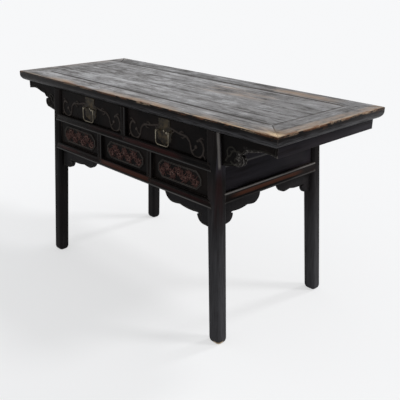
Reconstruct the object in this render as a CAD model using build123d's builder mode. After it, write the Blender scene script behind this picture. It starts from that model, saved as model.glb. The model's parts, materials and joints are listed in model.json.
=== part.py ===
"""Chinese altar table: a two-drawer coffer table with overhanging ends.

Frame: millimetres, origin on the floor under the middle of the top, +X along the length,
-Y towards the drawer front, +Z up. Every housed piece is made first and then cut out of the
piece that carries it, so each tenon, tongue and mitred shoulder fills its own mortise.
"""
import os

from build123d import *

os.makedirs("parts", exist_ok=True)

# ---------------------------------------------------------------- overall size
table_length = 1586.0
table_width = 628.0
table_height = 860.0

# ---------------------------------------------------------------- top
top_thickness = 44.0
frame_width = 104.0  # mitred frame members
arris_radius = 4.0  # top edge, rounded by wear
lip_height = 16.0  # upright lip above the moulding
edge_undercut = 24.0  # how far the moulding draws in towards the underside
edge_bulge = 7.5  # how far the moulding stands out from its chord
frame_tenon_length = 70.0
frame_tenon_width = 34.0
frame_tenon_thickness = 12.0
panel_thickness = 18.0  # floating panel of the top
panel_tongue = 8.0
panel_tongue_reach = 10.0
panel_seam = 0.8  # open seam round the floating panel
board_count = 3
batten_width = 40.0
batten_tenon = 14.0
batten_spacing = 252.0

# ---------------------------------------------------------------- legs
end_overhang = 273.0  # top end to leg face
front_setback = 14.0  # top edge to leg face
leg_width = 56.0
leg_depth = 50.0
leg_edge_radius = 13.0
leg_splay_x = 60.0  # how far a foot stands outside its top
leg_splay_y = 27.5
leg_tenon = 26.0  # height
leg_tenon_width = 28.0
leg_tenon_depth = 22.0

# ---------------------------------------------------------------- front rails and posts
bar_depth = 34.0
post_depth = 30.0
bead_width = 9.0  # raised bead along both edges of rails and posts
bead_rise = 3.0
field_proud = 0.5  # flat between the beads, in front of the leg face
drawer_opening = 113.0  # height between the top and the middle rail
middle_rail_height = 32.0
panel_opening = 102.5  # height between the two rails
bottom_rail_height = 32.0
post_width = 28.0
post_spacing = 330.0  # between the two panel posts
skin_thickness = 9.0  # front layer of a rail or post, cut to the mitred shoulders
shoulder_run = 26.0  # how far the lower edge of a rail runs on over the leg
shoulder_step = 1.0  # square end above the lower bead
tenon_length = 22.0
tenon_thickness = 10.0
housing = 8.0  # how far boards are let into legs, rails and posts

# ---------------------------------------------------------------- carved front panels
recess = 10.0  # panel and drawer faces behind the leg face
panel_board = 12.0
medallion_length = 240.0
medallion_height = 74.0
medallion_corner = 24.0
medallion_rise = 3.0

# ---------------------------------------------------------------- sides and back
side_rail_height = 42.0
side_rail_depth = 34.0
side_rail_bead = 10.0  # raised bead along both edges
side_rail_step = 1.5  # flat of the rail behind its beads
side_board_height = 132.0
side_opening = 90.0  # height between the side board and the side rail
side_board_recess = 5.0
side_board_thickness = 18.0
side_panel_recess = 13.0
back_recess = 3.0
back_panel_recess = 10.0

# ---------------------------------------------------------------- brackets and spandrels
carving_setback = 20.0  # behind the leg face
bracket_thickness = 18.0
bracket_hook_drop = 120.0
bracket_hook_reach = 98.0
bracket_wing_drop = 42.0
bracket_notch_drop = 60.0
end_board_height = 38.0
end_board_thickness = 18.0
spandrel_thickness = 16.0
front_spandrel_reach = 251.0
side_spandrel_reach = 205.0
spandrel_wing_drop = 46.0
spandrel_hook_drop = 88.0
front_hook_reach = 72.0
side_hook_reach = 52.0
notch_length = 18.0
notch_height = 6.0
# Cloud edges: shares of a wing's run and drop from its end inwards, and of a hook's reach and drop.
spandrel_wing_edge = [(1.0, 0.32), (0.92, 0.76), (0.75, 1.0), (0.64, 0.97), (0.53, 0.9)]
spandrel_wing_edge += [(0.26, 1.04), (0.0, 1.0)]
spandrel_hook_edge = [(0.86, 0.83), (0.42, 0.96)]
bracket_wing_edge = [(0.76, 0.75), (0.49, 0.81), (0.27, 1.0), (0.09, 1.1), (0.04, 1.32)]
bracket_hook_edge = [(1.06, 0.7), (0.82, 0.87)]

# ---------------------------------------------------------------- compartment floor
floor_thickness = 12.0
floor_drop = 6.0  # floor surface below the top of the bottom rail
floor_tongue = 6.0
floor_batten_width = 40.0
floor_batten_spacing = 330.0
floor_board_count = 3

# ---------------------------------------------------------------- drawers
drawer_gap = 1.5  # show gap round a drawer front
drawer_front_thickness = 20.0
drawer_side_thickness = 12.0
drawer_side_gap = 5.0  # side to muntin or leg
drawer_side_height = 106.0
drawer_depth = 477.0  # behind the front
drawer_back_thickness = 10.0
drawer_bottom_thickness = 8.0
drawer_bottom_rise = 7.0
drawer_groove = 5.0
drawer_housing = 8.0
running_gap = 0.2
runner_height = 18.0
runner_bearing = 20.0  # overlap of a runner under a drawer side
guide_height = 20.0
guide_gap = 1.5
guide_width = 7.0
runner_tenon = 10.0

# ---------------------------------------------------------------- brass pulls
plate_thickness = 1.6
plate_half_width = 32.0
plate_shoulder = 29.0  # straight part below the top edge
plate_lobe = 45.0
plate_waist = 37.0
plate_waist_share = 0.44  # how far down the tapering part the waist lies
plate_foot_half_width = 24.0
plate_foot_share = 0.78
plate_foot_bulge = 3.0
plate_top_margin = 2.0
plate_bottom_margin = 3.0
pull_drop = 48.5  # pivot below the top of the drawer front
eye_spacing = 58.0
eye_diameter = 8.0
eye_reach = 16.0
pivot_reach = 12.0  # pivot in front of the plate
pin_diameter = 3.6
pin_clearance = 0.05  # radial
bail_wire = 4.6
bail_width = 72.0  # between wire centres
bail_drop = 54.0
bail_corner = 14.0
nail_diameter = 9.0
nail_rise = 4.0

# ---------------------------------------------------------------- places worked out
leg_top = table_height - top_thickness
panel_underside = table_height - panel_thickness
leg_top_x = table_length / 2 - end_overhang
leg_top_y = table_width / 2 - front_setback
middle_rail_top = leg_top - drawer_opening
middle_rail_bottom = middle_rail_top - middle_rail_height
bottom_rail_top = middle_rail_bottom - panel_opening
bottom_rail_bottom = bottom_rail_top - bottom_rail_height
side_board_bottom = leg_top - side_board_height
side_rail_top = side_board_bottom - side_opening
side_rail_bottom = side_rail_top - side_rail_height
side_lean = leg_splay_x / leg_top
SIDES = {"left": -1, "right": 1}
ENDS = {"front": -1, "back": 1}


def leg_outer_x(z):
    """Distance of a leg's outer face from the middle of the table, at height z."""
    return leg_top_x + leg_splay_x * (leg_top - z) / leg_top


def leg_outer_y(z):
    """Distance of a leg's front or back face from the middle of the table, at height z."""
    return leg_top_y + leg_splay_y * (leg_top - z) / leg_top


def leg_inner_x(z):
    return leg_outer_x(z) - leg_width


def leg_inner_y(z):
    return leg_outer_y(z) - leg_depth


def block(x_range, y_range, z_range, mode=Mode.ADD):
    """A square block between two x, two y and two z values."""
    ranges = (x_range, y_range, z_range)
    with Locations([tuple((low + high) / 2 for low, high in ranges)]):
        Box(*(abs(high - low) for low, high in ranges), mode=mode)


def span(middle, width):
    """The two ends of a width centred on a place."""
    return (middle - width / 2, middle + width / 2)


def save(part, name):
    part.label = name
    export_step(part, f"parts/{name}.step")


# ================================================================ leg blanks
leg_blanks = {}
for side, side_x in SIDES.items():
    for end, end_y in ENDS.items():
        lean = Vector(-side_x * leg_splay_x, -end_y * leg_splay_y, leg_top)
        foot = (side_x * (leg_outer_x(0) - leg_width / 2), end_y * (leg_outer_y(0) - leg_depth / 2))
        head = (side_x * (leg_top_x - leg_width / 2), end_y * (leg_top_y - leg_depth / 2))
        with BuildPart() as leg_blank:
            with BuildSketch(Plane.XY):
                with Locations(foot):
                    RectangleRounded(leg_width, leg_depth, leg_edge_radius)
            extrude(amount=lean.length, dir=lean.normalized())
            block(
                span(head[0], leg_tenon_width),
                span(head[1], leg_tenon_depth),
                (leg_top, leg_top + leg_tenon),
            )
        leg_blanks[f"{end}_{side}"] = leg_blank.part


# ================================================================ carved front panels
panel_middle_z = (bottom_rail_top + middle_rail_bottom) / 2
panel_face = -(leg_outer_y(panel_middle_z) - recess)
post_inner = post_spacing / 2 - post_width / 2
post_outer = post_spacing / 2 + post_width / 2
panel_bays = {
    "carved_panel_left": (-leg_inner_x(panel_middle_z), -post_outer),
    "carved_panel_middle": (-post_inner, post_inner),
    "carved_panel_right": (post_outer, leg_inner_x(panel_middle_z)),
}
carved_panels = {}
for name, (bay_start, bay_end) in panel_bays.items():
    bay_middle = ((bay_start + bay_end) / 2, panel_middle_z)
    with BuildPart() as carved_panel:
        block(
            (bay_start - housing, bay_end + housing),
            (panel_face, panel_face + panel_board),
            (bottom_rail_top - housing, middle_rail_bottom + housing),
        )
        with BuildSketch(Plane.XZ.offset(-panel_face)):
            with Locations(bay_middle):
                medallion = Rectangle(medallion_length, medallion_height)
            chamfer(medallion.vertices(), medallion_corner)
        extrude(amount=medallion_rise)
    carved_panels[name] = carved_panel.part
    save(carved_panel.part, name)


# ================================================================ beaded bars and their shoulders
def plain_section(breadth, front, back):
    """Plain section of a front rail or post: x runs inwards from the bead tops, y runs across."""
    with BuildSketch() as section:
        with Locations((front, 0)):
            Rectangle(back - front, breadth, align=(Align.MIN, Align.CENTER))
    return section.sketch


def beaded_section(breadth, back):
    """The same section with a raised bead along both edges."""
    low, high = span(0, breadth)
    with BuildSketch() as section:
        with BuildLine():
            for bead_low in (low, high - bead_width):
                start, end = (bead_rise, bead_low), (bead_rise, bead_low + bead_width)
                ThreePointArc(start, (0, bead_low + bead_width / 2), end)
            Line((bead_rise, low + bead_width), (bead_rise, high - bead_width))
            Polyline((bead_rise, high), (back, high), (back, low), (bead_rise, low))
        make_face()
    return section.sketch


def bar_face(z):
    """Y of the bead tops of a front rail or post, at height z."""
    return -(leg_outer_y(z) + field_proud + bead_rise)


def behind(outline):
    """Everything behind a front outline, through the whole table."""
    with BuildPart() as prism:
        with BuildSketch(Plane.XZ):
            Polygon(*outline, align=None)
        extrude(amount=table_width, both=True)
    return prism.part


def leaning_bar(x, low, high, section):
    """An upright that leans back with the legs, from one height to another."""
    rise = Vector(0, leg_splay_y, leg_top) * ((high - low) / leg_top)
    with BuildPart() as bar:
        with BuildSketch(Plane(origin=(x, bar_face(low), low), x_dir=(0, 1, 0), z_dir=(0, 0, 1))):
            add(section)
        extrude(amount=rise.length, dir=rise.normalized())
    return bar.part


def front_post(x, bottom, top, lower_rail_face, point, top_tenon):
    """An upright between the front rails, whose skin runs down to a point over the lower rail."""
    tenon_y = bar_face(bottom) + skin_thickness
    with BuildPart() as post:
        add(leaning_bar(x, bottom, top, beaded_section(post_width, post_depth)))
        with BuildSketch(Plane.XZ.offset(-lower_rail_face - bead_rise)):
            Polygon((x - post_width / 2, bottom), (x, bottom - point), (x + post_width / 2, bottom), align=None)
        extrude(amount=bead_rise - skin_thickness)
        block(
            span(x, tenon_thickness),
            (tenon_y, tenon_y + tenon_thickness),
            (bottom - tenon_length / 2, top + top_tenon),
        )
    return post.part


bottom_rail_face = bar_face(bottom_rail_bottom + bottom_rail_height / 2)
middle_rail_face = bar_face(middle_rail_bottom + middle_rail_height / 2)
drawer_middle_z = (middle_rail_top + leg_top) / 2
muntin_point = middle_rail_height - bead_width
post_point = bottom_rail_height - bead_width

drawer_muntin = front_post(0, middle_rail_top, leg_top, middle_rail_face, muntin_point, 0)
front_posts = {"drawer_muntin": drawer_muntin}
for side, side_x in SIDES.items():
    post_x = side_x * post_spacing / 2
    post_zs = (bottom_rail_top, middle_rail_bottom)
    whole_post = front_post(post_x, *post_zs, bottom_rail_face, post_point, tenon_length / 2)
    with BuildPart() as panel_post:
        add(whole_post)
        for carved_panel_part in carved_panels.values():
            add(carved_panel_part, mode=Mode.SUBTRACT)
    front_posts[f"panel_post_{side}"] = panel_post.part
for name, part in front_posts.items():
    save(part, name)


# ================================================================ drawer runners
drawer_inner = post_width / 2 + drawer_side_gap
drawer_outer = leg_inner_x(leg_top) - drawer_side_gap
runner_front = middle_rail_face + bar_depth
middle_rail_back_inner = leg_outer_y(middle_rail_bottom + middle_rail_height / 2) - back_recess - bar_depth
drawer_face = -(leg_outer_y(drawer_middle_z) - recess)
drawer_front_back = drawer_face + drawer_front_thickness
guide_start = drawer_front_back + guide_gap
with BuildPart() as drawer_runners:
    runner_run = (runner_front - runner_tenon, middle_rail_back_inner + runner_tenon)
    runner_z = (middle_rail_top - runner_height, middle_rail_top)
    guide_z = (middle_rail_top, middle_rail_top + guide_height)
    centre_half = drawer_inner + runner_bearing
    block((-centre_half, centre_half), runner_run, runner_z)
    centre_guide = drawer_inner - guide_gap
    block((-centre_guide, centre_guide), (guide_start, middle_rail_back_inner), guide_z)
    for side_x in SIDES.values():
        guide_inner = side_x * (drawer_outer + guide_gap)
        guide_outer = side_x * (drawer_outer + guide_gap + guide_width)
        runner_inner = side_x * (drawer_outer - runner_bearing)
        block(sorted((runner_inner, guide_outer)), runner_run, runner_z)
        block(sorted((guide_inner, guide_outer)), (guide_start, middle_rail_back_inner), guide_z)
save(drawer_runners.part, "drawer_runners")


# ================================================================ compartment floor
bottom_rail_back_inner = leg_outer_y(bottom_rail_bottom + bottom_rail_height / 2) - back_recess - bar_depth
floor_top = bottom_rail_top - floor_drop
floor_underside = floor_top - floor_thickness
floor_front = bottom_rail_face + bar_depth - floor_tongue
floor_back = bottom_rail_back_inner + floor_tongue
floor_end = leg_outer_x(floor_top) - side_rail_depth + floor_tongue
floor_board_width = (floor_back - floor_front) / floor_board_count
with BuildPart() as compartment_floor_boards:
    block((-floor_end, floor_end), (floor_front, floor_back), (floor_underside, floor_top))
    for leg_part in leg_blanks.values():
        add(leg_part, mode=Mode.SUBTRACT)
    for seam in range(1, floor_board_count):
        seam_y = span(floor_front + seam * floor_board_width, panel_seam)
        block((-floor_end, floor_end), seam_y, (floor_underside, floor_top), Mode.SUBTRACT)
save(compartment_floor_boards.part, "compartment_floor_boards")

with BuildPart() as compartment_battens:
    for side_x in SIDES.values():
        block(
            span(side_x * floor_batten_spacing / 2, floor_batten_width),
            (floor_front - floor_tongue, floor_back + floor_tongue),
            (bottom_rail_bottom + floor_tongue, floor_underside),
        )
save(compartment_battens.part, "compartment_battens")


# ================================================================ front rails
def rail_outline(bottom, height, overshoot=0.0):
    """Front outline of a rail, whose lower edge runs on over the legs to a point."""
    top = bottom + height
    shoulder = bottom + bead_width + shoulder_step
    end = leg_inner_x(top) + leg_edge_radius
    tip = leg_inner_x(bottom) + shoulder_run
    slope = (tip - end) / (top - shoulder)
    right = [(end - slope * overshoot, top + overshoot), (tip, shoulder), (tip, bottom - overshoot)]
    return right + [(-x, z) for x, z in reversed(right)]


def rail_tenon(bottom, height, face):
    """The tenons at both ends of a rail, as one bar."""
    middle = bottom + height / 2
    block(
        span(0, 2 * (leg_inner_x(middle) + tenon_length)),
        span(face + bar_depth - tenon_thickness, tenon_thickness),
        span(middle, height / 2),
    )


def front_rail(bottom, height, face):
    """A rail scribed to the legs, with sloping shoulders over them and a tenon into each."""
    middle = bottom + height / 2
    end = leg_inner_x(middle) + leg_edge_radius
    across = Plane(origin=(0, face, middle), x_dir=(0, 1, 0), z_dir=(1, 0, 0))
    with BuildPart() as skin:
        with BuildSketch(across):
            add(beaded_section(height, skin_thickness))
        extrude(amount=end + leg_width, both=True)
        add(behind(rail_outline(bottom, height, bead_rise)), mode=Mode.INTERSECT)
    with BuildPart() as rail:
        with BuildSketch(across):
            add(plain_section(height, skin_thickness, bar_depth))
        extrude(amount=end, both=True)
        for leg_part in leg_blanks.values():
            add(leg_part, mode=Mode.SUBTRACT)
        add(skin.part)
        rail_tenon(bottom, height, face)
    return rail.part


def rail_housing(bottom, height, face):
    """What a leg is cut away for: the rail's shoulders, square through the leg face, and its tenon."""
    with BuildPart() as space:
        with BuildSketch(Plane.XZ.offset(-face - skin_thickness)):
            Polygon(*rail_outline(bottom, height), align=None)
        extrude(amount=2 * skin_thickness)
        rail_tenon(bottom, height, face)
    return space.part


let_into_rails = [*front_posts.values(), *carved_panels.values(), drawer_runners.part]
let_into_rails += [compartment_floor_boards.part, compartment_battens.part]
rail_housings = []
for name, rail_bottom, rail_height, rail_face in (
    ("front_middle_rail", middle_rail_bottom, middle_rail_height, middle_rail_face),
    ("front_bottom_rail", bottom_rail_bottom, bottom_rail_height, bottom_rail_face),
):
    rail_housings.append(rail_housing(rail_bottom, rail_height, rail_face))
    with BuildPart() as front_rail_part:
        add(front_rail(rail_bottom, rail_height, rail_face))
        for housed in let_into_rails:
            add(housed, mode=Mode.SUBTRACT)
    save(front_rail_part.part, name)


# ================================================================ back
back_panel_outer = leg_outer_y(leg_top) - back_panel_recess
back_panel_zs = {
    "back_upper_panel": (middle_rail_top - housing, leg_top + housing),
    "back_lower_panel": (bottom_rail_top - housing, middle_rail_bottom + housing),
}
back_panels = {}
for name, (panel_low, panel_high) in back_panel_zs.items():
    panel_half = leg_inner_x((panel_low + panel_high) / 2) + housing
    with BuildPart() as back_panel:
        panel_y = (back_panel_outer - panel_board, back_panel_outer)
        block(span(0, 2 * panel_half), panel_y, (panel_low, panel_high))
    back_panels[name] = back_panel.part
    save(back_panel.part, name)

back_rails = {}
for name, rail_bottom, rail_height in (
    ("back_middle_rail", middle_rail_bottom, middle_rail_height),
    ("back_bottom_rail", bottom_rail_bottom, bottom_rail_height),
):
    rail_middle = rail_bottom + rail_height / 2
    rail_outer = leg_outer_y(rail_middle) - back_recess
    with BuildPart() as back_rail:
        block(
            span(0, 2 * leg_outer_x(rail_middle) - leg_width),
            (rail_outer - bar_depth, rail_outer),
            (rail_bottom, rail_bottom + rail_height),
        )
        for leg_part in leg_blanks.values():
            add(leg_part, mode=Mode.SUBTRACT)
        block(
            span(0, 2 * (leg_inner_x(rail_middle) + tenon_length)),
            span(rail_outer - bar_depth / 2, tenon_thickness),
            span(rail_middle, rail_height / 2),
        )
        for housed in [*back_panels.values(), *let_into_rails]:
            add(housed, mode=Mode.SUBTRACT)
    back_rails[name] = back_rail.part
    save(back_rail.part, name)


# ================================================================ sides
def side_plane(side_x, z, setback=0.0):
    """Section plane of a side piece: x runs inwards from the leaning leg face, y runs up it."""
    inwards = Vector(-side_x, 0, -side_lean).normalized()
    start = Vector(side_x * leg_outer_x(z), 0, z) + inwards * setback
    return Plane(origin=start, x_dir=inwards, z_dir=(0, side_x, 0))


def side_face_plane(side_x, z, setback):
    """Face plane of a side piece, parallel to the leaning leg face; x runs along the side."""
    outwards = Vector(side_x, 0, side_lean).normalized()
    start = Vector(side_x * leg_outer_x(z), 0, z) - outwards * setback
    return Plane(origin=start, x_dir=(0, side_x, 0), z_dir=outwards)


def side_strip(side_x, bottom, top, setback, thickness, half_run):
    """A flat board that leans with the legs, from its bottom height to its top height."""
    slope = Vector(side_lean * (top - bottom), top - bottom).length
    with BuildPart() as strip:
        with BuildSketch(side_plane(side_x, bottom, setback)):
            Rectangle(thickness, slope, align=(Align.MIN, Align.MIN))
        extrude(amount=half_run, both=True)
    return strip.part


side_pieces = {}
for side, side_x in SIDES.items():
    panel_run = leg_inner_y((side_rail_top + side_board_bottom) / 2) + housing
    panel_zs = (side_rail_top - housing, side_board_bottom + housing)
    board_run = leg_inner_y((side_board_bottom + leg_top) / 2) + housing
    board_zs = (side_board_bottom, leg_top)
    with BuildPart() as side_panel:
        add(side_strip(side_x, *panel_zs, side_panel_recess, panel_board, panel_run))
    with BuildPart() as side_upper_board:
        add(side_strip(side_x, *board_zs, side_board_recess, side_board_thickness, board_run))
        block((-table_length, table_length), span(0, table_width), (leg_top, table_height), Mode.SUBTRACT)
        add(side_panel.part, mode=Mode.SUBTRACT)
    with BuildPart() as side_lower_rail:
        with BuildSketch(side_plane(side_x, side_rail_bottom)):
            with BuildLine():
                for bead_low in (0, side_rail_height - side_rail_bead):
                    start, end = (side_rail_step, bead_low), (side_rail_step, bead_low + side_rail_bead)
                    ThreePointArc(start, (0, bead_low + side_rail_bead / 2), end)
                Line((side_rail_step, side_rail_bead), (side_rail_step, side_rail_height - side_rail_bead))
                Polyline(
                    (side_rail_step, side_rail_height),
                    (side_rail_depth, side_rail_height),
                    (side_rail_depth, 0),
                    (side_rail_step, 0),
                )
            make_face()
        extrude(amount=leg_inner_y(side_rail_bottom + side_rail_height / 2) + leg_edge_radius, both=True)
        for leg_part in leg_blanks.values():
            add(leg_part, mode=Mode.SUBTRACT)
        with BuildSketch(side_plane(side_x, side_rail_bottom + side_rail_height / 4, side_rail_depth / 2)):
            Rectangle(tenon_thickness, side_rail_height / 2, align=(Align.MIN, Align.MIN))
        extrude(amount=leg_inner_y(side_rail_bottom) + tenon_length, both=True)
        add(side_panel.part, mode=Mode.SUBTRACT)
        add(compartment_floor_boards.part, mode=Mode.SUBTRACT)
    side_pieces[f"side_panel_{side}"] = side_panel.part
    side_pieces[f"side_upper_board_{side}"] = side_upper_board.part
    side_pieces[f"side_lower_rail_{side}"] = side_lower_rail.part
for name, part in side_pieces.items():
    save(part, name)


# ================================================================ carved spandrels and brackets
def cloud_edge(points):
    """Arcs end to end, each through three of the points."""
    for start in range(0, len(points) - 2, 2):
        ThreePointArc(*points[start : start + 3])


def spandrel_outline(leg_face, reach, hook_reach, sign):
    """Cloud-edged spandrel below a rail: the hook lies on the leg, the wing runs along the rail."""

    def place(away, drop):
        return (sign * (leg_face - away), -drop)

    wing = reach - hook_reach
    wing_edge = [place(hook_reach + run * wing, drop * spandrel_wing_drop) for run, drop in spandrel_wing_edge]
    notch_root = place(hook_reach - notch_length, spandrel_wing_drop + notch_height / 2)
    hook_edge = [place(hook_reach, spandrel_wing_drop + notch_height)]
    hook_edge += [place(run * hook_reach, drop * spandrel_hook_drop) for run, drop in spandrel_hook_edge]
    foot = place(-housing, spandrel_hook_drop)
    with BuildSketch() as outline:
        with BuildLine():
            Polyline(foot, place(-housing, 0), place(reach, 0), wing_edge[0])
            cloud_edge(wing_edge)
            Polyline(wing_edge[-1], notch_root, hook_edge[0])
            cloud_edge(hook_edge)
            Line(hook_edge[-1], foot)
        make_face()
    return outline.sketch


def bracket_outline(leg_face, reach, sign):
    """Cloud-edged bracket under the overhang: the hook lies on the leg, the wing runs outwards."""

    def place(away, drop):
        return (sign * (leg_face + away), -drop)

    wing = reach - bracket_hook_reach
    wing_edge = [place(reach, end_board_height)]
    wing_edge += [
        place(bracket_hook_reach + run * wing, drop * bracket_wing_drop) for run, drop in bracket_wing_edge
    ]
    wing_edge.append(place(bracket_hook_reach - notch_length / 2, bracket_notch_drop))
    notch_root = place(bracket_hook_reach - notch_length, bracket_notch_drop + notch_height / 2)
    hook_edge = [place(bracket_hook_reach, bracket_notch_drop + notch_height)]
    hook_edge += [place(run * bracket_hook_reach, drop * bracket_hook_drop) for run, drop in bracket_hook_edge]
    foot = place(-housing, bracket_hook_drop)
    with BuildSketch() as outline:
        with BuildLine():
            Polyline(foot, place(-housing, 0), place(reach, 0), wing_edge[0])
            cloud_edge(wing_edge)
            Polyline(wing_edge[-1], notch_root, hook_edge[0])
            cloud_edge(hook_edge)
            Line(hook_edge[-1], foot)
        make_face()
    return outline.sketch


carvings = {}
spandrel_y = leg_outer_y(bottom_rail_bottom) - carving_setback
spandrel_leg_x = leg_inner_x(bottom_rail_bottom - spandrel_hook_drop / 2)
for side, side_x in SIDES.items():
    with BuildPart() as front_spandrel:
        front = Plane(origin=(0, -spandrel_y, bottom_rail_bottom), x_dir=(1, 0, 0), z_dir=(0, -1, 0))
        with BuildSketch(front):
            add(spandrel_outline(spandrel_leg_x, front_spandrel_reach, front_hook_reach, side_x))
        extrude(amount=-spandrel_thickness)
    carvings[f"front_spandrel_{side}"] = front_spandrel.part

    with BuildPart() as side_spandrels:
        side_leg_y = leg_inner_y(side_rail_bottom - spandrel_hook_drop / 2)
        for end_y in ENDS.values():
            with BuildSketch(side_face_plane(side_x, side_rail_bottom, carving_setback)):
                add(spandrel_outline(side_leg_y, side_spandrel_reach, side_hook_reach, end_y))
            extrude(amount=-spandrel_thickness)
        above_rail = (side_rail_bottom, leg_top)
        block((-table_length, table_length), span(0, table_width), above_rail, Mode.SUBTRACT)
    carvings[f"side_spandrels_{side}"] = side_spandrels.part

bracket_y = leg_top_y - carving_setback
bracket_leg_x = leg_outer_x(leg_top - bracket_hook_drop / 2)
bracket_reach = table_length / 2 - edge_undercut - bracket_leg_x
end_board_outer = table_length / 2 - edge_undercut
end_boards = {}
for side, side_x in SIDES.items():
    board_outer = side_x * end_board_outer
    board_inner = side_x * (end_board_outer - end_board_thickness)
    with BuildPart() as end_board:
        with BuildSketch(Plane.XY.offset(leg_top - end_board_height)):
            Polygon(
                (board_outer, -bracket_y),
                (board_outer, bracket_y),
                (board_inner, bracket_y - end_board_thickness),
                (board_inner, end_board_thickness - bracket_y),
                align=None,
            )
        extrude(amount=end_board_height)
    end_boards[f"end_board_{side}"] = end_board.part
    for end, end_y in ENDS.items():
        with BuildPart() as overhang_bracket:
            front = Plane(origin=(0, end_y * bracket_y, leg_top), x_dir=(1, 0, 0), z_dir=(0, -1, 0))
            with BuildSketch(front):
                add(bracket_outline(bracket_leg_x, bracket_reach, side_x))
            extrude(amount=end_y * bracket_thickness)
            add(end_board.part, mode=Mode.SUBTRACT)
        carvings[f"overhang_bracket_{end}_{side}"] = overhang_bracket.part
for name, part in [*carvings.items(), *end_boards.items()]:
    save(part, name)


# ================================================================ legs
leg_joints = [*rail_housings, *back_rails.values(), *back_panels.values()]
leg_joints += [*carved_panels.values(), *side_pieces.values(), *carvings.values()]
for name, leg_part in leg_blanks.items():
    with BuildPart() as leg:
        add(leg_part)
        for housed in leg_joints:
            add(housed, mode=Mode.SUBTRACT)
    save(leg.part, f"leg_{name}")


# ================================================================ top
board_half_length = table_length / 2 - frame_width - panel_seam
board_half_width = table_width / 2 - frame_width - panel_seam
tongue_half_length = table_length / 2 - frame_width + panel_tongue_reach
tongue_half_width = table_width / 2 - frame_width + panel_tongue_reach
tongue_z = (panel_underside, panel_underside + panel_tongue)
board_width = 2 * board_half_width / board_count
top_board_names = ("top_board_front", "top_board_middle", "top_board_back")
for place, name in enumerate(top_board_names):
    board_low = -board_half_width + place * board_width
    board_high = board_low + board_width
    tongue_low = -tongue_half_width if place == 0 else board_low
    tongue_high = tongue_half_width if place == board_count - 1 else board_high
    with BuildPart() as top_board:
        block(span(0, 2 * board_half_length), (board_low, board_high), (panel_underside, table_height))
        block(span(0, 2 * tongue_half_length), (tongue_low, tongue_high), tongue_z)
    save(top_board.part, name)

batten_half = table_width / 2 - frame_width + batten_tenon
side_board_top_x = leg_top_x - side_board_recess - side_board_thickness / 2
with BuildPart() as top_battens:
    for batten_x in (-side_board_top_x, -batten_spacing, 0, batten_spacing, side_board_top_x):
        block(span(batten_x, batten_width), span(0, 2 * batten_half), (leg_top, panel_underside))
save(top_battens.part, "top_battens")


def moulded_section():
    """Section of a frame member: x runs inwards from the outer edge, y is the height."""
    lip_bottom = table_height - lip_height
    with BuildSketch() as section:
        with BuildLine():
            moulding = SagittaArc((0, lip_bottom), (edge_undercut, leg_top), -edge_bulge)
            Polyline(
                moulding @ 1,
                (frame_width, leg_top),
                (frame_width, table_height),
                (0, table_height),
                moulding @ 0,
            )
        make_face()
        arris = section.vertices().sort_by_distance((0, table_height))[0]
        fillet(arris, radius=min(arris_radius, 0.9 * lip_height))
    return section.sketch


half_length = table_length / 2
half_width = table_width / 2
inner_half_length = half_length - frame_width
inner_half_width = half_width - frame_width
tenon_z = span((leg_top + panel_underside) / 2, frame_tenon_thickness)
tenon_y_middle = half_width - frame_width / 2
frame_joints = [*leg_blanks.values(), back_panels["back_upper_panel"], top_battens.part]

for end, end_y in ENDS.items():
    with BuildPart() as top_rail:
        across = Plane(origin=(0, end_y * half_width, 0), x_dir=(0, -end_y, 0), z_dir=(-end_y, 0, 0))
        with BuildSketch(across):
            add(moulded_section())
        extrude(amount=half_length, both=True)
        with BuildSketch(Plane.XY):
            Polygon(
                (-half_length, end_y * half_width),
                (half_length, end_y * half_width),
                (inner_half_length, end_y * inner_half_width),
                (-inner_half_length, end_y * inner_half_width),
                align=None,
            )
        extrude(amount=table_height, mode=Mode.INTERSECT)
        block(
            span(0, 2 * (inner_half_length + frame_tenon_length)),
            span(end_y * tenon_y_middle, frame_tenon_width),
            tenon_z,
        )
        block(span(0, 2 * tongue_half_length), span(0, 2 * tongue_half_width), tongue_z, Mode.SUBTRACT)
        for housed in frame_joints:
            add(housed, mode=Mode.SUBTRACT)
    save(top_rail.part, f"top_{end}_rail")

for side, side_x in SIDES.items():
    with BuildPart() as top_end:
        across = Plane(origin=(side_x * half_length, 0, 0), x_dir=(-side_x, 0, 0), z_dir=(0, side_x, 0))
        with BuildSketch(across):
            add(moulded_section())
        extrude(amount=half_width, both=True)
        with BuildSketch(Plane.XY):
            Polygon(
                (side_x * half_length, -half_width),
                (side_x * half_length, half_width),
                (side_x * inner_half_length, inner_half_width),
                (side_x * inner_half_length, -inner_half_width),
                align=None,
            )
        extrude(amount=table_height, mode=Mode.INTERSECT)
        for end_y in ENDS.values():
            block(
                span(0, 2 * (inner_half_length + frame_tenon_length)),
                span(end_y * tenon_y_middle, frame_tenon_width),
                tenon_z,
                Mode.SUBTRACT,
            )
        block(span(0, 2 * tongue_half_length), span(0, 2 * tongue_half_width), tongue_z, Mode.SUBTRACT)
    save(top_end.part, f"top_{side}_end")


# ================================================================ drawers
front_low = middle_rail_top + drawer_gap
front_high = leg_top - drawer_gap
box_low = middle_rail_top + running_gap
box_high = box_low + drawer_side_height
box_back = drawer_front_back + drawer_depth
bottom_z = (box_low + drawer_bottom_rise, box_low + drawer_bottom_rise + drawer_bottom_thickness)
pull_x = (post_width / 2 + leg_inner_x(drawer_middle_z)) / 2
pull_z = front_high - pull_drop
plate_face = drawer_face - plate_thickness
pivot_y = plate_face - pivot_reach
pin_hole = pin_diameter / 2 + pin_clearance
pin_plane = Plane(origin=(0, pivot_y, pull_z), x_dir=(0, 1, 0), z_dir=(1, 0, 0))


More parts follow.
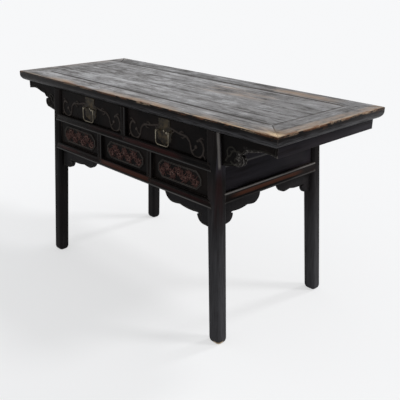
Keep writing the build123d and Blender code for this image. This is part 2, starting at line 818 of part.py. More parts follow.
def plate_outline(x):
    """Lobed back plate: straight shoulders under the drawer's top edge, two lobes, a pointed foot."""
    top = front_high - plate_top_margin
    shoulder = top - plate_shoulder
    foot = front_low + plate_bottom_margin
    drop = shoulder - foot
    waist_z = shoulder - drop * plate_waist_share
    lower_z = shoulder - drop * plate_foot_share
    with BuildSketch() as outline:
        with BuildLine():
            corner = (x + plate_half_width, top)
            Polyline((x, foot), (x, top), corner, (x + plate_half_width, shoulder))
            ThreePointArc(
                (x + plate_half_width, shoulder),
                (x + plate_lobe, (shoulder + waist_z) / 2),
                (x + plate_waist, waist_z),
            )
            ThreePointArc(
                (x + plate_waist, waist_z),
                (x + plate_waist + plate_foot_bulge, (waist_z + lower_z) / 2),
                (x + plate_foot_half_width, lower_z),
            )
            Line((x + plate_foot_half_width, lower_z), (x, foot))
        make_face()
        mirror(about=Plane.YZ.offset(x))
    return outline.sketch


for side, side_x in SIDES.items():
    near = side_x * drawer_inner
    far = side_x * drawer_outer
    near_inside = near + side_x * drawer_side_thickness
    far_inside = far - side_x * drawer_side_thickness
    groove_x = sorted((near_inside - side_x * drawer_groove, far_inside + side_x * drawer_groove))

    with BuildPart() as drawer_bottom:
        block(groove_x, (drawer_front_back - drawer_groove, box_back), bottom_z)
    with BuildPart() as drawer_back:
        block(groove_x, (box_back - drawer_back_thickness, box_back), (bottom_z[1], box_high))
    drawer_sides = {}
    for place, (outer_x, inner_x) in {"inner": (near, near_inside), "outer": (far, far_inside)}.items():
        with BuildPart() as drawer_side:
            side_run = (drawer_front_back - drawer_housing, box_back)
            block(sorted((outer_x, inner_x)), side_run, (box_low, box_high))
            add(drawer_bottom.part, mode=Mode.SUBTRACT)
            add(drawer_back.part, mode=Mode.SUBTRACT)
        drawer_sides[place] = drawer_side.part
    with BuildPart() as drawer_front:
        with BuildSketch(Plane.XZ.offset(-drawer_face)):
            Polygon(
                (side_x * (post_width / 2 + drawer_gap), front_low),
                (side_x * (post_width / 2 + drawer_gap), front_high),
                (side_x * (leg_inner_x(front_high) - drawer_gap), front_high),
                (side_x * (leg_inner_x(front_low) - drawer_gap), front_low),
                align=None,
            )
        extrude(amount=-drawer_front_thickness)
        add(drawer_bottom.part, mode=Mode.SUBTRACT)
        for drawer_side_part in drawer_sides.values():
            add(drawer_side_part, mode=Mode.SUBTRACT)

    with BuildPart() as pull_plate:
        with BuildSketch(Plane.XZ.offset(-drawer_face)):
            add(plate_outline(side_x * pull_x))
        extrude(amount=plate_thickness)
    with BuildPart() as pull_eyes:
        with BuildSketch(Plane.XZ.offset(-plate_face)):
            with Locations((side_x * pull_x, pull_z)):
                with GridLocations(eye_spacing, 0, 2, 1):
                    Circle(eye_diameter / 2)
        extrude(amount=eye_reach)
        with BuildSketch(pin_plane):
            Circle(pin_hole)
        extrude(amount=table_length, both=True, mode=Mode.SUBTRACT)
        with BuildSketch(Plane.XZ.offset(-plate_face)):
            with Locations((side_x * pull_x, pull_z)):
                Circle(nail_diameter / 2)
        extrude(amount=nail_rise)
    with BuildPart() as bail:
        arm = bail_width / 2
        wire_plane = Plane(origin=(side_x * pull_x, pivot_y, pull_z), x_dir=(1, 0, 0), z_dir=(0, -1, 0))
        with BuildLine(wire_plane) as wire_path:
            FilletPolyline((-arm, 0), (-arm, -bail_drop), (arm, -bail_drop), (arm, 0), radius=bail_corner)
        with BuildSketch(Plane(origin=wire_path.line @ 0, z_dir=wire_path.line % 0)):
            Circle(bail_wire / 2)
        sweep(path=wire_path.line)
        for sign in SIDES.values():
            with Locations((side_x * pull_x + sign * arm, pivot_y, pull_z)):
                Sphere(bail_wire / 2)
            pin_start = side_x * pull_x + sign * arm
            pin_length = arm - eye_spacing / 2 + eye_diameter / 2 + running_gap
            with BuildSketch(Plane(origin=(pin_start, pivot_y, pull_z), z_dir=(-sign, 0, 0))):
                Circle(pin_diameter / 2)
            extrude(amount=pin_length)

    save(drawer_front.part, f"drawer_{side}_front")
    save(drawer_sides["inner"], f"drawer_{side}_inner_side")
    save(drawer_sides["outer"], f"drawer_{side}_outer_side")
    save(drawer_back.part, f"drawer_{side}_back")
    save(drawer_bottom.part, f"drawer_{side}_bottom")
    save(pull_plate.part, f"drawer_{side}_pull_plate")
    save(pull_eyes.part, f"drawer_{side}_pull_eyes")
    save(bail.part, f"drawer_{side}_bail")
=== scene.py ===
# %% [markdown]
# A Chinese altar coffer table: a long table whose ends reach out past its legs, with two drawers
# and a closed compartment under them. The solids come from the CAD frame, which stays as it is.
# Here each of them gets the surface that hands, knives and years gave the real one.

# %% The frame
import json
import math
from collections import namedtuple

import bmesh
import bpy
import numpy as np
from mathutils import Matrix, Vector
from mathutils.geometry import delaunay_2d_cdt

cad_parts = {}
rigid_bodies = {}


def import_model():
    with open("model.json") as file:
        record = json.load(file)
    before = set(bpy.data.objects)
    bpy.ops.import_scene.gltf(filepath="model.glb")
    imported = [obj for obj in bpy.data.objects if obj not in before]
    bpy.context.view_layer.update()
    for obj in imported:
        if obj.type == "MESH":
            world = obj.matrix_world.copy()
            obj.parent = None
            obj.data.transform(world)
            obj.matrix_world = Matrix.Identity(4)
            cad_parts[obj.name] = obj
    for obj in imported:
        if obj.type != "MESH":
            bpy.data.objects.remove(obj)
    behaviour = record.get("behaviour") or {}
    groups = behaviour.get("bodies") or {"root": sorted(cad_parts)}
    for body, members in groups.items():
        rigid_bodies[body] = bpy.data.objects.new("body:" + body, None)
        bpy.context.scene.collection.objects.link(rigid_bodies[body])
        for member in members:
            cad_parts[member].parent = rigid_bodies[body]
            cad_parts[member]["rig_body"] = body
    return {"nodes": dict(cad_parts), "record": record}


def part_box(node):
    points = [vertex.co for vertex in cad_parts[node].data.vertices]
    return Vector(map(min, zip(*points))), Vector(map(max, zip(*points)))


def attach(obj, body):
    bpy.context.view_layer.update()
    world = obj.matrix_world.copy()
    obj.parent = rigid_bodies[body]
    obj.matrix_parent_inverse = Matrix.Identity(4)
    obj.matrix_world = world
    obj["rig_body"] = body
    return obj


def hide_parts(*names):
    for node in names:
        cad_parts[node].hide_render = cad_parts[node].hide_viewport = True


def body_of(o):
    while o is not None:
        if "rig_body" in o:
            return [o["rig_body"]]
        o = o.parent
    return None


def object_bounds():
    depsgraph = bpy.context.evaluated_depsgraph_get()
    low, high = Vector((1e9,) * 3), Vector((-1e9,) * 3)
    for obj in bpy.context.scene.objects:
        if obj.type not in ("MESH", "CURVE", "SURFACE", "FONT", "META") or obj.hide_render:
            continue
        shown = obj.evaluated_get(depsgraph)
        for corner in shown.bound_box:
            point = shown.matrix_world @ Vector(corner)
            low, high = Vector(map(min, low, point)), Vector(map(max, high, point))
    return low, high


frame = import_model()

MM = 1000.0  # millimetres in a metre: drawings are in millimetres, the frame is in metres

cad_low, cad_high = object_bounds()
print("table", [round(b - a, 3) for a, b in zip(cad_low, cad_high)], "m, nodes", len(frame["nodes"]))

# %% [markdown]
# The camera stands in front of the table, well to its right and above it, and is turned by three
# angles. They could be given as a rotation in a set order. A matrix built from the camera's own
# three directions is used instead, because it leaves no doubt about which turn comes first.

# %% Camera
EYE = Vector((1.8888, -1.7107, 1.3515))
YAW, PITCH, ROLL = -0.7978, -0.3779, 0.0115
LENS_MM = 53.87

forward = Vector((math.sin(YAW) * math.cos(PITCH), math.cos(YAW) * math.cos(PITCH), math.sin(PITCH)))
level_right = Vector((math.cos(YAW), -math.sin(YAW), 0.0))
level_up = level_right.cross(forward)
right = level_right * math.cos(ROLL) + level_up * math.sin(ROLL)
up = level_up * math.cos(ROLL) - level_right * math.sin(ROLL)
camera_data = bpy.data.cameras.new("camera")
camera_data.lens = LENS_MM
camera = bpy.data.objects.new("camera", camera_data)
camera.matrix_world = Matrix.Translation(EYE) @ Matrix((right, up, -forward)).transposed().to_4x4()
bpy.context.scene.collection.objects.link(camera)
bpy.context.scene.camera = camera
bpy.context.scene.view_settings.view_transform = "Standard"
print("camera", round((EYE - (cad_low + cad_high) / 2).length, 2), "m from the middle of the table")

# %% [markdown]
# A finish is worked out from numbers that change over the surface. The nodes for them could be
# wired one by one, but then the sum is lost among its wires. A small class holds one socket
# instead and turns + - * into Math nodes, also when the number stands first.


# %% Numbers that change over a surface
class Value:
    """One socket of a node tree, which Python's operators can work on."""

    def __init__(self, nodes, socket):
        self.nodes = nodes
        self.socket = socket

    def maths(self, operation, *inputs):
        return self.nodes.node("ShaderNodeMath", {"operation": operation}, dict(enumerate(inputs)))

    def __add__(self, other):
        return self.maths("ADD", self, other)

    def __radd__(self, other):
        return self.maths("ADD", other, self)

    def __sub__(self, other):
        return self.maths("SUBTRACT", self, other)

    def __rsub__(self, other):
        return self.maths("SUBTRACT", other, self)

    def __mul__(self, other):
        return self.maths("MULTIPLY", self, other)

    def __rmul__(self, other):
        return self.maths("MULTIPLY", other, self)

    def larger(self, other):
        return self.maths("MAXIMUM", self, other)

    def size(self):
        return self.maths("ABSOLUTE", self)

    def clamped(self):
        return self.nodes.node("ShaderNodeClamp", {}, {0: self})

    def between(self, low, high):
        """0 at low, 1 at high, and a smooth step in between; low may be the larger one."""
        settings = {"interpolation_type": "SMOOTHSTEP", "clamp": True}
        return self.nodes.node("ShaderNodeMapRange", settings, {0: self, 1: low, 2: high})


print("a socket can be", [name for name in vars(Value) if not name.startswith("_")])

# %% [markdown]
# Materials and the world are both trees of nodes, so one class serves them, and one method adds
# any node: its settings first, then the values or links of its sockets. Colours are mixed by a
# Mix node, because a Math node would turn them grey.


# %% Node trees
class Nodes:
    """The node tree of a material or of the world."""

    def __init__(self, owner):
        owner.use_nodes = True
        self.tree = owner.node_tree
        self.tree.nodes.clear()

    def node(self, kind, settings, inputs, output=0):
        made = self.tree.nodes.new(kind)
        for name, setting in settings.items():
            setattr(made, name, setting)
        for key, value in inputs.items():
            if isinstance(value, Value):
                self.tree.links.new(value.socket, made.inputs[key])
            else:
                made.inputs[key].default_value = value
        return Value(self, made.outputs[output] if made.outputs else None)

    def mix(self, share, first, second):
        """Colours mixed: share 0 gives the first. Sockets 6 and 7 of the node are its colours."""
        inputs = {0: share, 6: opaque(first), 7: opaque(second)}
        return self.node("ShaderNodeMix", {"data_type": "RGBA"}, inputs, 2)

    def seen_directly(self):
        """1 for camera rays and for mirror and glass rays, 0 for the rays that light things."""
        rays = self.node("ShaderNodeLightPath", {}, {}).socket.node.outputs
        camera_ray = Value(self, rays["Is Camera Ray"])
        mirror_ray = Value(self, rays["Is Glossy Ray"])
        glass_ray = Value(self, rays["Is Transmission Ray"])
        return (camera_ray + mirror_ray + glass_ray).clamped()


def opaque(colour):
    """A colour with its alpha, or a link left as it is."""
    return colour if isinstance(colour, Value) else (*colour, 1.0)


print("a tree can be given", [name for name in vars(Nodes) if not name.startswith("_")])

# %% [markdown]
# A finish is a tree with the place on the piece in it, as x, y and z in metres. The pieces all
# stand in the table's own frame, so a place is the same for every piece, and grain and dust run
# on from one timber to the next. Every finish ends in one surface node.

# %% Materials
COAT_ROUGHNESS = 0.2


class Finish(Nodes):
    """A material under construction."""

    def __init__(self, name):
        self.material = bpy.data.materials.new(name)
        super().__init__(self.material)
        self.place = self.node("ShaderNodeTexCoord", {}, {}, "Object")
        split = self.node("ShaderNodeSeparateXYZ", {}, {0: self.place})
        self.x, self.y, self.z = (Value(self, socket) for socket in split.socket.node.outputs)

    def noise(self, scale, stretch=(1, 1, 1), detail=4.0, rough=0.55, warp=0.0):
        """Cloudy noise from 0 to 1, drawn out along an axis whose stretch is under 1."""
        place = self.node("ShaderNodeMapping", {}, {"Vector": self.place, "Scale": stretch})
        inputs = {"Vector": place, "Scale": scale, "Detail": detail, "Roughness": rough, "Distortion": warp}
        return self.node("ShaderNodeTexNoise", {}, inputs)

    def attribute(self, name):
        return self.node("ShaderNodeAttribute", {"attribute_name": name}, {}, "Fac")

    def within_all(self, ranges):
        """1 inside every range of x, y or z; each is its low end, its high end and its soft width."""
        share = 1.0
        for axis, (low, high, soft) in ranges.items():
            value = getattr(self, axis)
            share = value.between(low - soft, low + soft) * value.between(high + soft, high - soft) * share
        return share

    def bump(self, height, distance, strength):
        inputs = {"Height": height, "Distance": distance, "Strength": strength}
        return self.node("ShaderNodeBump", {}, inputs)

    def done(self, colour, roughness, normal, specular, metallic=0.0, coat=0.0):
        inputs = {"Base Color": colour, "Roughness": roughness, "Metallic": metallic, "Normal": normal}
        inputs |= {"Coat Weight": coat, "Coat Roughness": COAT_ROUGHNESS, "Specular IOR Level": specular}
        surface = self.node("ShaderNodeBsdfPrincipled", {}, inputs)
        self.node("ShaderNodeOutputMaterial", {}, {0: surface})
        return self.material


print("a finish can also be given", [name for name in vars(Finish) if not name.startswith("_")])

# %% [markdown]
# The floor only serves the table. It could be lit until it is pale, but then it would light the
# table from below. Part of its brightness is given to camera, mirror and glass rays alone
# instead, so it looks like a lit studio floor and still keeps a light shadow of the table.

# %% Floor
FLOOR_COLOUR = (0.36, 0.36, 0.365)
FLOOR_GLOW = 0.58
FLOOR_HALF = 90.0


def floor_material():
    finish = Finish("floor")
    diffuse = finish.node("ShaderNodeBsdfDiffuse", {}, {"Color": opaque(FLOOR_COLOUR)})
    glow = finish.node("ShaderNodeEmission", {}, {"Strength": finish.seen_directly() * FLOOR_GLOW})
    both = finish.node("ShaderNodeAddShader", {}, {0: diffuse, 1: glow})
    finish.node("ShaderNodeOutputMaterial", {}, {0: both})
    return finish.material


floor_mesh = bpy.data.meshes.new("floor")
floor_corners = [(x * FLOOR_HALF, y * FLOOR_HALF, 0) for x, y in ((-1, -1), (1, -1), (1, 1), (-1, 1))]
floor_mesh.from_pydata(floor_corners, [], [(0, 1, 2, 3)])
floor = bpy.data.objects.new("floor", floor_mesh)
bpy.context.scene.collection.objects.link(floor)
floor_mesh.materials.append(floor_material())
print("floor", 2 * FLOOR_HALF, "m across")

# %% [markdown]
# The world is the room. It is pale to the camera and to mirrors, and a weaker, slightly blue
# light for everything else, by the same kinds of ray as on the floor.

# %% World
WORLD_LIGHT = 0.58
WORLD_SEEN = 0.95
WORLD_TINT, WHITE = (0.95, 0.975, 1.0), (1.0, 1.0, 1.0)


def studio_world():
    world = bpy.data.worlds.new("studio")
    nodes = Nodes(world)
    seen = nodes.seen_directly()
    strength = WORLD_LIGHT + seen * (WORLD_SEEN - WORLD_LIGHT)
    colour = nodes.mix(seen, WORLD_TINT, WHITE)
    background = nodes.node("ShaderNodeBackground", {}, {"Color": colour, "Strength": strength})
    nodes.node("ShaderNodeOutputWorld", {}, {0: background})
    return world


bpy.context.scene.world = studio_world()
print("world", WORLD_LIGHT, "as light,", WORLD_SEEN, "as seen")

# %% [markdown]
# Two far lamps light floor and table evenly. The stronger one stands behind the table on its
# right, and gives the pale right-hand faces and the shadows to the left; the weaker one stands
# straight behind, and its leg shadows run forwards. The front is left to the light of the room.


# %% Lamps
def far_lamp(name, stands_towards, strength, width_degrees):
    """A lamp so far off that its rays run side by side; a wider one has softer shadows."""
    data = bpy.data.lights.new(name, "SUN")
    data.energy = strength
    data.angle = math.radians(width_degrees)
    lamp = bpy.data.objects.new(name, data)
    lamp.matrix_world = Vector(stands_towards).to_track_quat("Z", "Y").to_matrix().to_4x4()
    bpy.context.scene.collection.objects.link(lamp)
    print("lamp", name, "strength", strength)


far_lamp("key", stands_towards=(0.72, 0.69, 1.00), strength=1.10, width_degrees=12)
far_lamp("back", stands_towards=(0.15, 0.99, 0.95), strength=0.80, width_degrees=8)

# %% [markdown]
# Lacquered wood wears from the edges inward: black lacquer, then the red-brown ground under it,
# then bare wood. Each layer is a colour here, and so are the dust that stays in the hollows, a
# painted fill light for sides in shade, and the painted highlights of beads and lit edges.

# %% Colours of the wear
BLACK_LACQUER = (0.0042, 0.0036, 0.0036)
BROWN_LACQUER = (0.0110, 0.0080, 0.0072)
RED_GROUND = (0.085, 0.022, 0.017)
WORN_RED = (0.027, 0.0075, 0.0070)
ORANGE_WOOD = (0.150, 0.070, 0.038)
PALE_WOOD = (0.42, 0.31, 0.21)
CORNER_WOOD = (0.80, 0.60, 0.38)
RUBBED_EDGE = (0.120, 0.098, 0.086)
DUSTY_GREY = (0.052, 0.050, 0.053)
# pale dust on the legs; on the moulding of the top, a painted sheen
PALE_DUST_AND_SHEEN = (0.100, 0.098, 0.104)
# painted light: a pale blue-grey that lightens sides lying in shade
PAINTED_FILL_LIGHT = (0.066, 0.060, 0.076)
# painted highlights: light lines painted on beads and on lit edges
PAINTED_BEAD_HIGHLIGHT = (0.105, 0.100, 0.098)
PAINTED_BRIGHT_HIGHLIGHT = (0.300, 0.275, 0.255)
print("brightest colour", max(CORNER_WOOD), "darkest", min(BLACK_LACQUER))

# %% [markdown]
# Masks say where a layer has gone. The nearness of an edge could be painted on by hand. A Bevel
# node measures it instead: where its softened normal differs from the true one, the surface
# turns a corner, whatever the shape of the piece.


# %% Masks
def drawn_out(axis, scale):
    """The stretch that draws a noise out along one axis, as grain is along a board."""
    return tuple(scale if name == axis else 1.0 for name in "xyz")


def edge_of(finish, radius):
    """0 on flat surfaces, rising to 1 at an edge, over the radius."""
    soft = finish.node("ShaderNodeBevel", {"samples": 4}, {"Radius": radius})
    true = finish.node("ShaderNodeNewGeometry", {}, {}, "Normal")
    turn = finish.node("ShaderNodeVectorMath", {"operation": "DOT_PRODUCT"}, {0: soft, 1: true}, "Value")
    return (1 - turn).between(0.01, 0.20)


def facing_up(finish):
    normal = finish.node("ShaderNodeNewGeometry", {}, {}, "Normal")
    upwards = finish.node("ShaderNodeSeparateXYZ", {}, {0: normal}, "Z")
    return upwards.between(0.70, 0.95)


def under_top(depth):
    """The height that lies so far under the top of the table, in metres."""
    return cad_high.z - depth


GRAIN = 0.06
print("grain along x stretches a noise by", drawn_out("x", GRAIN))

# %% [markdown]
# The lacquer is one recipe for all plain timbers, made once for each direction of the grain.
# What happened in one place only, such as a rubbed beading, is a spot: ranges of x, y and z, a
# colour and a share. So a rail with its own wear is the same recipe with a few spots more.

# %% Lacquer of the timbers
Spot = namedtuple("Spot", "ranges colour share")
LACQUER_SPECULAR = 0.02
LACQUER_COAT = 0.03
EDGE_SHARE = 0.75


def lacquer(name, grain, spots=(), wear=None):
    """Dark lacquer over a red-brown ground; wear may add the dust of one kind of timber."""
    finish = Finish(name)
    fibres = finish.noise(160.0, drawn_out(grain, GRAIN), detail=5.0, rough=0.6)
    cloud = finish.noise(7.0, detail=5.0, rough=0.62)
    fleck = finish.noise(60.0, drawn_out(grain, GRAIN), detail=4.0, rough=0.65)
    worn = (cloud * 0.55 + fleck * 0.45).between(0.56, 0.70)
    colour = finish.mix(cloud.between(0.35, 0.70), BLACK_LACQUER, BROWN_LACQUER)
    colour = finish.mix(fibres.between(0.50, 0.80) * 0.18, colour, DUSTY_GREY)
    colour = finish.mix(worn * 0.10, colour, RED_GROUND)
    colour = finish.mix(fleck.between(0.57, 0.72) * 0.30, colour, DUSTY_GREY)
    for spot in spots:
        share = finish.within_all(spot.ranges) * (0.35 + fleck).between(0.55, 0.90) * spot.share
        colour = finish.mix(share, colour, spot.colour)
    if wear:
        colour = wear(finish, colour, fibres, fleck)
    edge = edge_of(finish, 0.0032) * (0.25 + fleck.between(0.35, 0.62))
    colour = finish.mix(edge.clamped() * EDGE_SHARE, colour, RUBBED_EDGE)
    roughness = 0.34 + 0.25 * fibres + 0.15 * worn
    normal = finish.bump(fibres * 0.5 + cloud, distance=0.0010, strength=0.4)
    return finish.done(colour, roughness, normal, LACQUER_SPECULAR, coat=LACQUER_COAT)


lacquer_along = {axis: lacquer(f"lacquer_{axis}", axis) for axis in "xyz"}
print("lacquer", [material.name for material in lacquer_along.values()])

# %% [markdown]
# Grey dust settles on the lower legs, most on those at the right. The near right leg has more to
# show: painted light on its shaded side, red ground on its front, two painted highlight lines,
# and bare wood where the sole has lost chips. Dust thickens towards the floor, so it is worked out
# from the height; most of the rest are spots.

# %% Lacquer of the legs
LEG_DUST = 0.85
BARE_SOLE = {"x": (0.552, 0.590, 0.006), "y": (-0.335, -0.300, 0.006)}
SHADED_SIDE = {"x": (0.5225, 0.60, 0.0015), "y": (-0.34, -0.20, 0.01), "z": (0.66, 0.82, 0.03)}
RED_STRIP = {"x": (0.526, 0.545, 0.006), "y": (-0.36, -0.28, 0.01), "z": (0.49, 0.68, 0.06)}
UPPER_LINE = {"x": (0.50, 0.54, 0.003), "y": (-0.296, -0.286, 0.003), "z": (0.69, 0.82, 0.01)}
LOWER_LINE = {"x": (0.52, 0.57, 0.003), "y": (-0.256, -0.248, 0.003), "z": (0.56, 0.70, 0.02)}
# the shaded side gets painted light; the upper and lower lines are painted highlights
LEG_SPOTS = [
    Spot(SHADED_SIDE, PAINTED_FILL_LIGHT, 0.60),
    Spot(RED_STRIP, WORN_RED, 0.8),
    Spot(UPPER_LINE, PAINTED_BRIGHT_HIGHLIGHT, 1.0),
    Spot(LOWER_LINE, PAINTED_BRIGHT_HIGHLIGHT, 0.5),
]


def dusty_leg(finish, colour, fibres, fleck):
    right_end = finish.x.between(-0.55, 0.45)
    low = finish.z.between(0.72, 0.10) * (0.30 + 0.70 * right_end) * LEG_DUST
    colour = finish.mix(low * (0.2 + fleck * 1.5).clamped(), colour, DUSTY_GREY)
    streaks = (0.10 + low) * right_end * fibres.between(0.25, 0.60)
    colour = finish.mix(streaks * 0.45, colour, PALE_DUST_AND_SHEEN)
    colour = finish.mix(low * fleck.between(0.58, 0.72) * 0.5, colour, PALE_DUST_AND_SHEEN)
    sole = finish.z.between(0.013, 0.007) * finish.within_all(BARE_SOLE)
    return finish.mix(sole, colour, CORNER_WOOD)


leg_lacquer = lacquer("leg_lacquer", "z", LEG_SPOTS, wear=dusty_leg)
print("leg lacquer with", len(LEG_SPOTS), "spots")

# %% [markdown]
# The boards of the top have lost their lacquer. What is left is grey wood with pale and dark
# patches along the grain, cracks, and tan places where the surface was rubbed last.

# %% Grey boards of the top
DARK_GREY = (0.090, 0.085, 0.082)
MIDDLE_GREY = (0.245, 0.239, 0.239)
PALE_GREY = (0.450, 0.447, 0.454)
TOP_TAN = (0.34, 0.245, 0.175)
TOP_STREAK = (0.040, 0.036, 0.034)
RUBBED_PANEL = {"x": (0.10, 0.42, 0.06), "y": (0.03, 0.15, 0.03)}
RUBBED_BACK = {"x": (0.28, 0.62, 0.05), "y": (0.23, 0.29, 0.02)}
RUBBED_FRONT_RUNS = ((-0.54, -0.36, 0.05), (-0.16, 0.30, 0.05), (0.42, 0.62, 0.05))
TopNoises = namedtuple("TopNoises", "fibres streaks cloud blotch scuffs cracks")


def top_noises(finish, grain):
    """The noises that all of the top's wear shares; clouds and blotches lie along the table."""
    return TopNoises(
        fibres=finish.noise(210.0, drawn_out(grain, GRAIN), detail=5.0, rough=0.65),
        streaks=finish.noise(42.0, drawn_out(grain, GRAIN), detail=5.0, rough=0.7),
        cloud=finish.noise(6.5, drawn_out("x", 0.6), detail=5.0, rough=0.65),
        blotch=finish.noise(15.0, drawn_out("x", 0.5), detail=5.0, rough=0.7, warp=0.6),
        scuffs=finish.noise(75.0, drawn_out(grain, 0.30), detail=6.0, rough=0.75, warp=0.4),
        cracks=finish.noise(70.0, drawn_out(grain, 0.035), detail=3.0, rough=0.6),
    )


def grey_boards(finish, noise):
    """Three greys, and dark streaks and cracks that grow towards the right."""
    right_half = finish.x.between(-0.15, 0.40)
    tone = noise.streaks * 0.30 + noise.cloud * 0.20 + noise.blotch * 0.20 + noise.scuffs * 0.30
    colour = finish.mix(tone.between(0.42, 0.51), DARK_GREY, MIDDLE_GREY)
    colour = finish.mix((tone - 0.02 * right_half).between(0.49, 0.58), colour, PALE_GREY)
    colour = finish.mix(noise.scuffs.between(0.56, 0.70) * (0.25 + 0.35 * right_half), colour, TOP_STREAK)
    colour = finish.mix(noise.fibres.between(0.50, 0.70) * (0.28 + 0.30 * right_half), colour, TOP_STREAK)
    return finish.mix(noise.cracks.between(0.60, 0.72) * (0.25 + 0.5 * right_half), colour, TOP_STREAK)


def tan_places(finish, noise):
    """The share of tan wood: two patches, runs of the front edge, and both ends."""
    tan = finish.within_all(RUBBED_PANEL) * noise.streaks.between(0.45, 0.58)
    tan = tan.larger(finish.within_all(RUBBED_BACK))
    for run in RUBBED_FRONT_RUNS:
        tan = tan.larger(finish.within_all({"x": run}) * finish.y.between(-0.262, -0.296) * 1.25)
    tan = tan.larger(finish.x.between(0.742, 0.758)).larger(finish.x.between(-0.70, -0.79) * 0.4)
    return tan * (noise.cloud * 0.5 + noise.blotch * 0.5).between(0.36, 0.62) * 0.75


print("greys of the top", DARK_GREY[0], MIDDLE_GREY[0], PALE_GREY[0])

# %% [markdown]
# Dirt fills the joints between the top's frame and its panel, and the four mitres. They could be
# cut as grooves, but dirt has filled them nearly flush, so they are drawn in the finish, along
# the joints of the solids.

# %% Joints of the top
PAST_LONG_JOINT, PAST_END_JOINT = 0.002, -0.003  # where the dirt lies, outwards from the joint
front_edge, front_joint = (abs(corner.y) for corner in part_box("top_front_rail"))
SEAM_Y = front_joint + PAST_LONG_JOINT
SEAM_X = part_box("top_right_end")[0].x + PAST_END_JOINT
MITRE_SLOPE = (cad_high.x - SEAM_X) / (front_edge - SEAM_Y)


def top_joints(finish):
    """1 along the joints round the panel and along the mitres."""
    x, y = finish.x.size(), finish.y.size()
    along = (y - SEAM_Y).size().between(0.0115, 0.0030) * x.between(SEAM_X, SEAM_X - 0.02)
    across = (x - SEAM_X).size().between(0.006, 0.002) * y.between(SEAM_Y, SEAM_Y - 0.01)
    mitre = ((x - SEAM_X) - MITRE_SLOPE * (y - SEAM_Y)).size().between(0.005, 0.001)
    return along.larger(across * 0.7).larger(mitre * x.between(SEAM_X - 0.002, SEAM_X + 0.002))


print("joints at", round(SEAM_X * MM), "and", round(SEAM_Y * MM), "mm from the middle")

# %% [markdown]
# The edges of the top took the knocks. The near right corner is rubbed through to pale wood, and
# so is a narrow rim along the front and the right end. The moulding under it keeps its black
# lacquer with a broken arris, and a painted pale sheen, stronger low down and towards the right.


# %% Edges of the top
def worn_corner(finish, noise, colour):
    corner = finish.x.between(0.60, 0.76) * finish.y.between(-0.225, -0.300)
    tip = finish.x.between(0.715, 0.775) * finish.y.between(-0.265, -0.305)
    colour = finish.mix(corner * noise.blotch.between(0.35, 0.6) * 0.85, colour, PALE_WOOD)
    colour = finish.mix(tip * noise.scuffs.between(0.36, 0.52), colour, CORNER_WOOD)
    colour = finish.mix(corner * noise.fibres.between(0.50, 0.62) * 0.6, colour, ORANGE_WOOD)
    return finish.mix(corner * noise.blotch.between(0.56, 0.66) * 0.8, colour, TOP_STREAK)


def worn_rim(finish, noise, colour):
    rim = finish.y.between(-0.3000, -0.3070).larger(finish.x.between(0.781, 0.788))
    patchy = noise.cloud.between(0.60, 0.40) * 0.6 + finish.x.between(-0.20, 0.55) * 0.5
    colour = finish.mix(rim * patchy * noise.scuffs.between(0.36, 0.52) * 0.85, colour, PALE_WOOD)
    return finish.mix(rim * noise.blotch.between(0.46, 0.60) * 0.9, colour, ORANGE_WOOD)


def moulded_side(finish, noise):
    side = finish.mix(noise.cloud.between(0.35, 0.7), BLACK_LACQUER, BROWN_LACQUER)
    # painted sheen: pale streaks stand for the moulding's reflection, stronger low down and to the right
    lower = 0.15 + 0.85 * finish.z.between(under_top(0.012), under_top(0.030))
    painted_sheen = noise.fibres.between(0.30, 0.65) * lower * (0.10 + 0.90 * finish.x.between(-0.85, 0.45))
    side = finish.mix(painted_sheen, side, PALE_DUST_AND_SHEEN)
    side = finish.mix(edge_of(finish, 0.004) * noise.streaks.between(0.40, 0.60) * 0.6, side, RUBBED_EDGE)
    arris = finish.z.between(under_top(0.010), under_top(0.003))
    arris = arris * (0.30 + 0.70 * finish.x.between(-0.50, 0.30))
    side = finish.mix(arris * (noise.scuffs * 0.6 + noise.cloud * 0.4).between(0.46, 0.56), side, ORANGE_WOOD)
    pale = (noise.fibres * 0.4 + noise.blotch * 0.6).between(0.50, 0.58)
    side = finish.mix(arris * pale * 0.8, side, PALE_WOOD)
    chips = finish.z.between(under_top(0.022), under_top(0.006)) * noise.scuffs.between(0.57, 0.64)
    return finish.mix(chips * finish.x.between(0.0, 0.5) * 0.6, side, ORANGE_WOOD)


def worn_top(name, grain):
    """The top's boards, rubbed to grey wood, with their black moulded sides."""
    finish = Finish(name)
    noise = top_noises(finish, grain)
    colour = grey_boards(finish, noise)
    colour = finish.mix(tan_places(finish, noise), colour, TOP_TAN)
    joints = top_joints(finish)
    colour = finish.mix(joints * (0.60 + noise.blotch * 0.5).clamped(), colour, TOP_STREAK)
    colour = worn_corner(finish, noise, colour)
    colour = worn_rim(finish, noise, colour)
    top_share = facing_up(finish) * finish.z.between(under_top(0.0065), under_top(0.0035))
    colour = finish.mix(top_share, moulded_side(finish, noise), colour)
    height = noise.fibres + noise.streaks - 1.2 * noise.cracks.between(0.60, 0.72) - joints
    roughness = 0.36 + (0.20 + 0.2 * noise.fibres) * top_share
    normal = finish.bump(height, distance=0.0010, strength=0.5)
    return finish.done(colour, roughness, normal, specular=0.03)


top_along = {axis: worn_top(f"worn_top_{axis}", axis) for axis in "xy"}
print("worn top", [material.name for material in top_along.values()])

# %% [markdown]
# Carving keeps its lacquer in the hollows and loses it on the raised forms. The Bevel node finds
# the edges here too, but how high a place stands comes from the carving itself: the pieces below
# carry their relief as a number from 0 to 1 at every point, and this finish reads it.


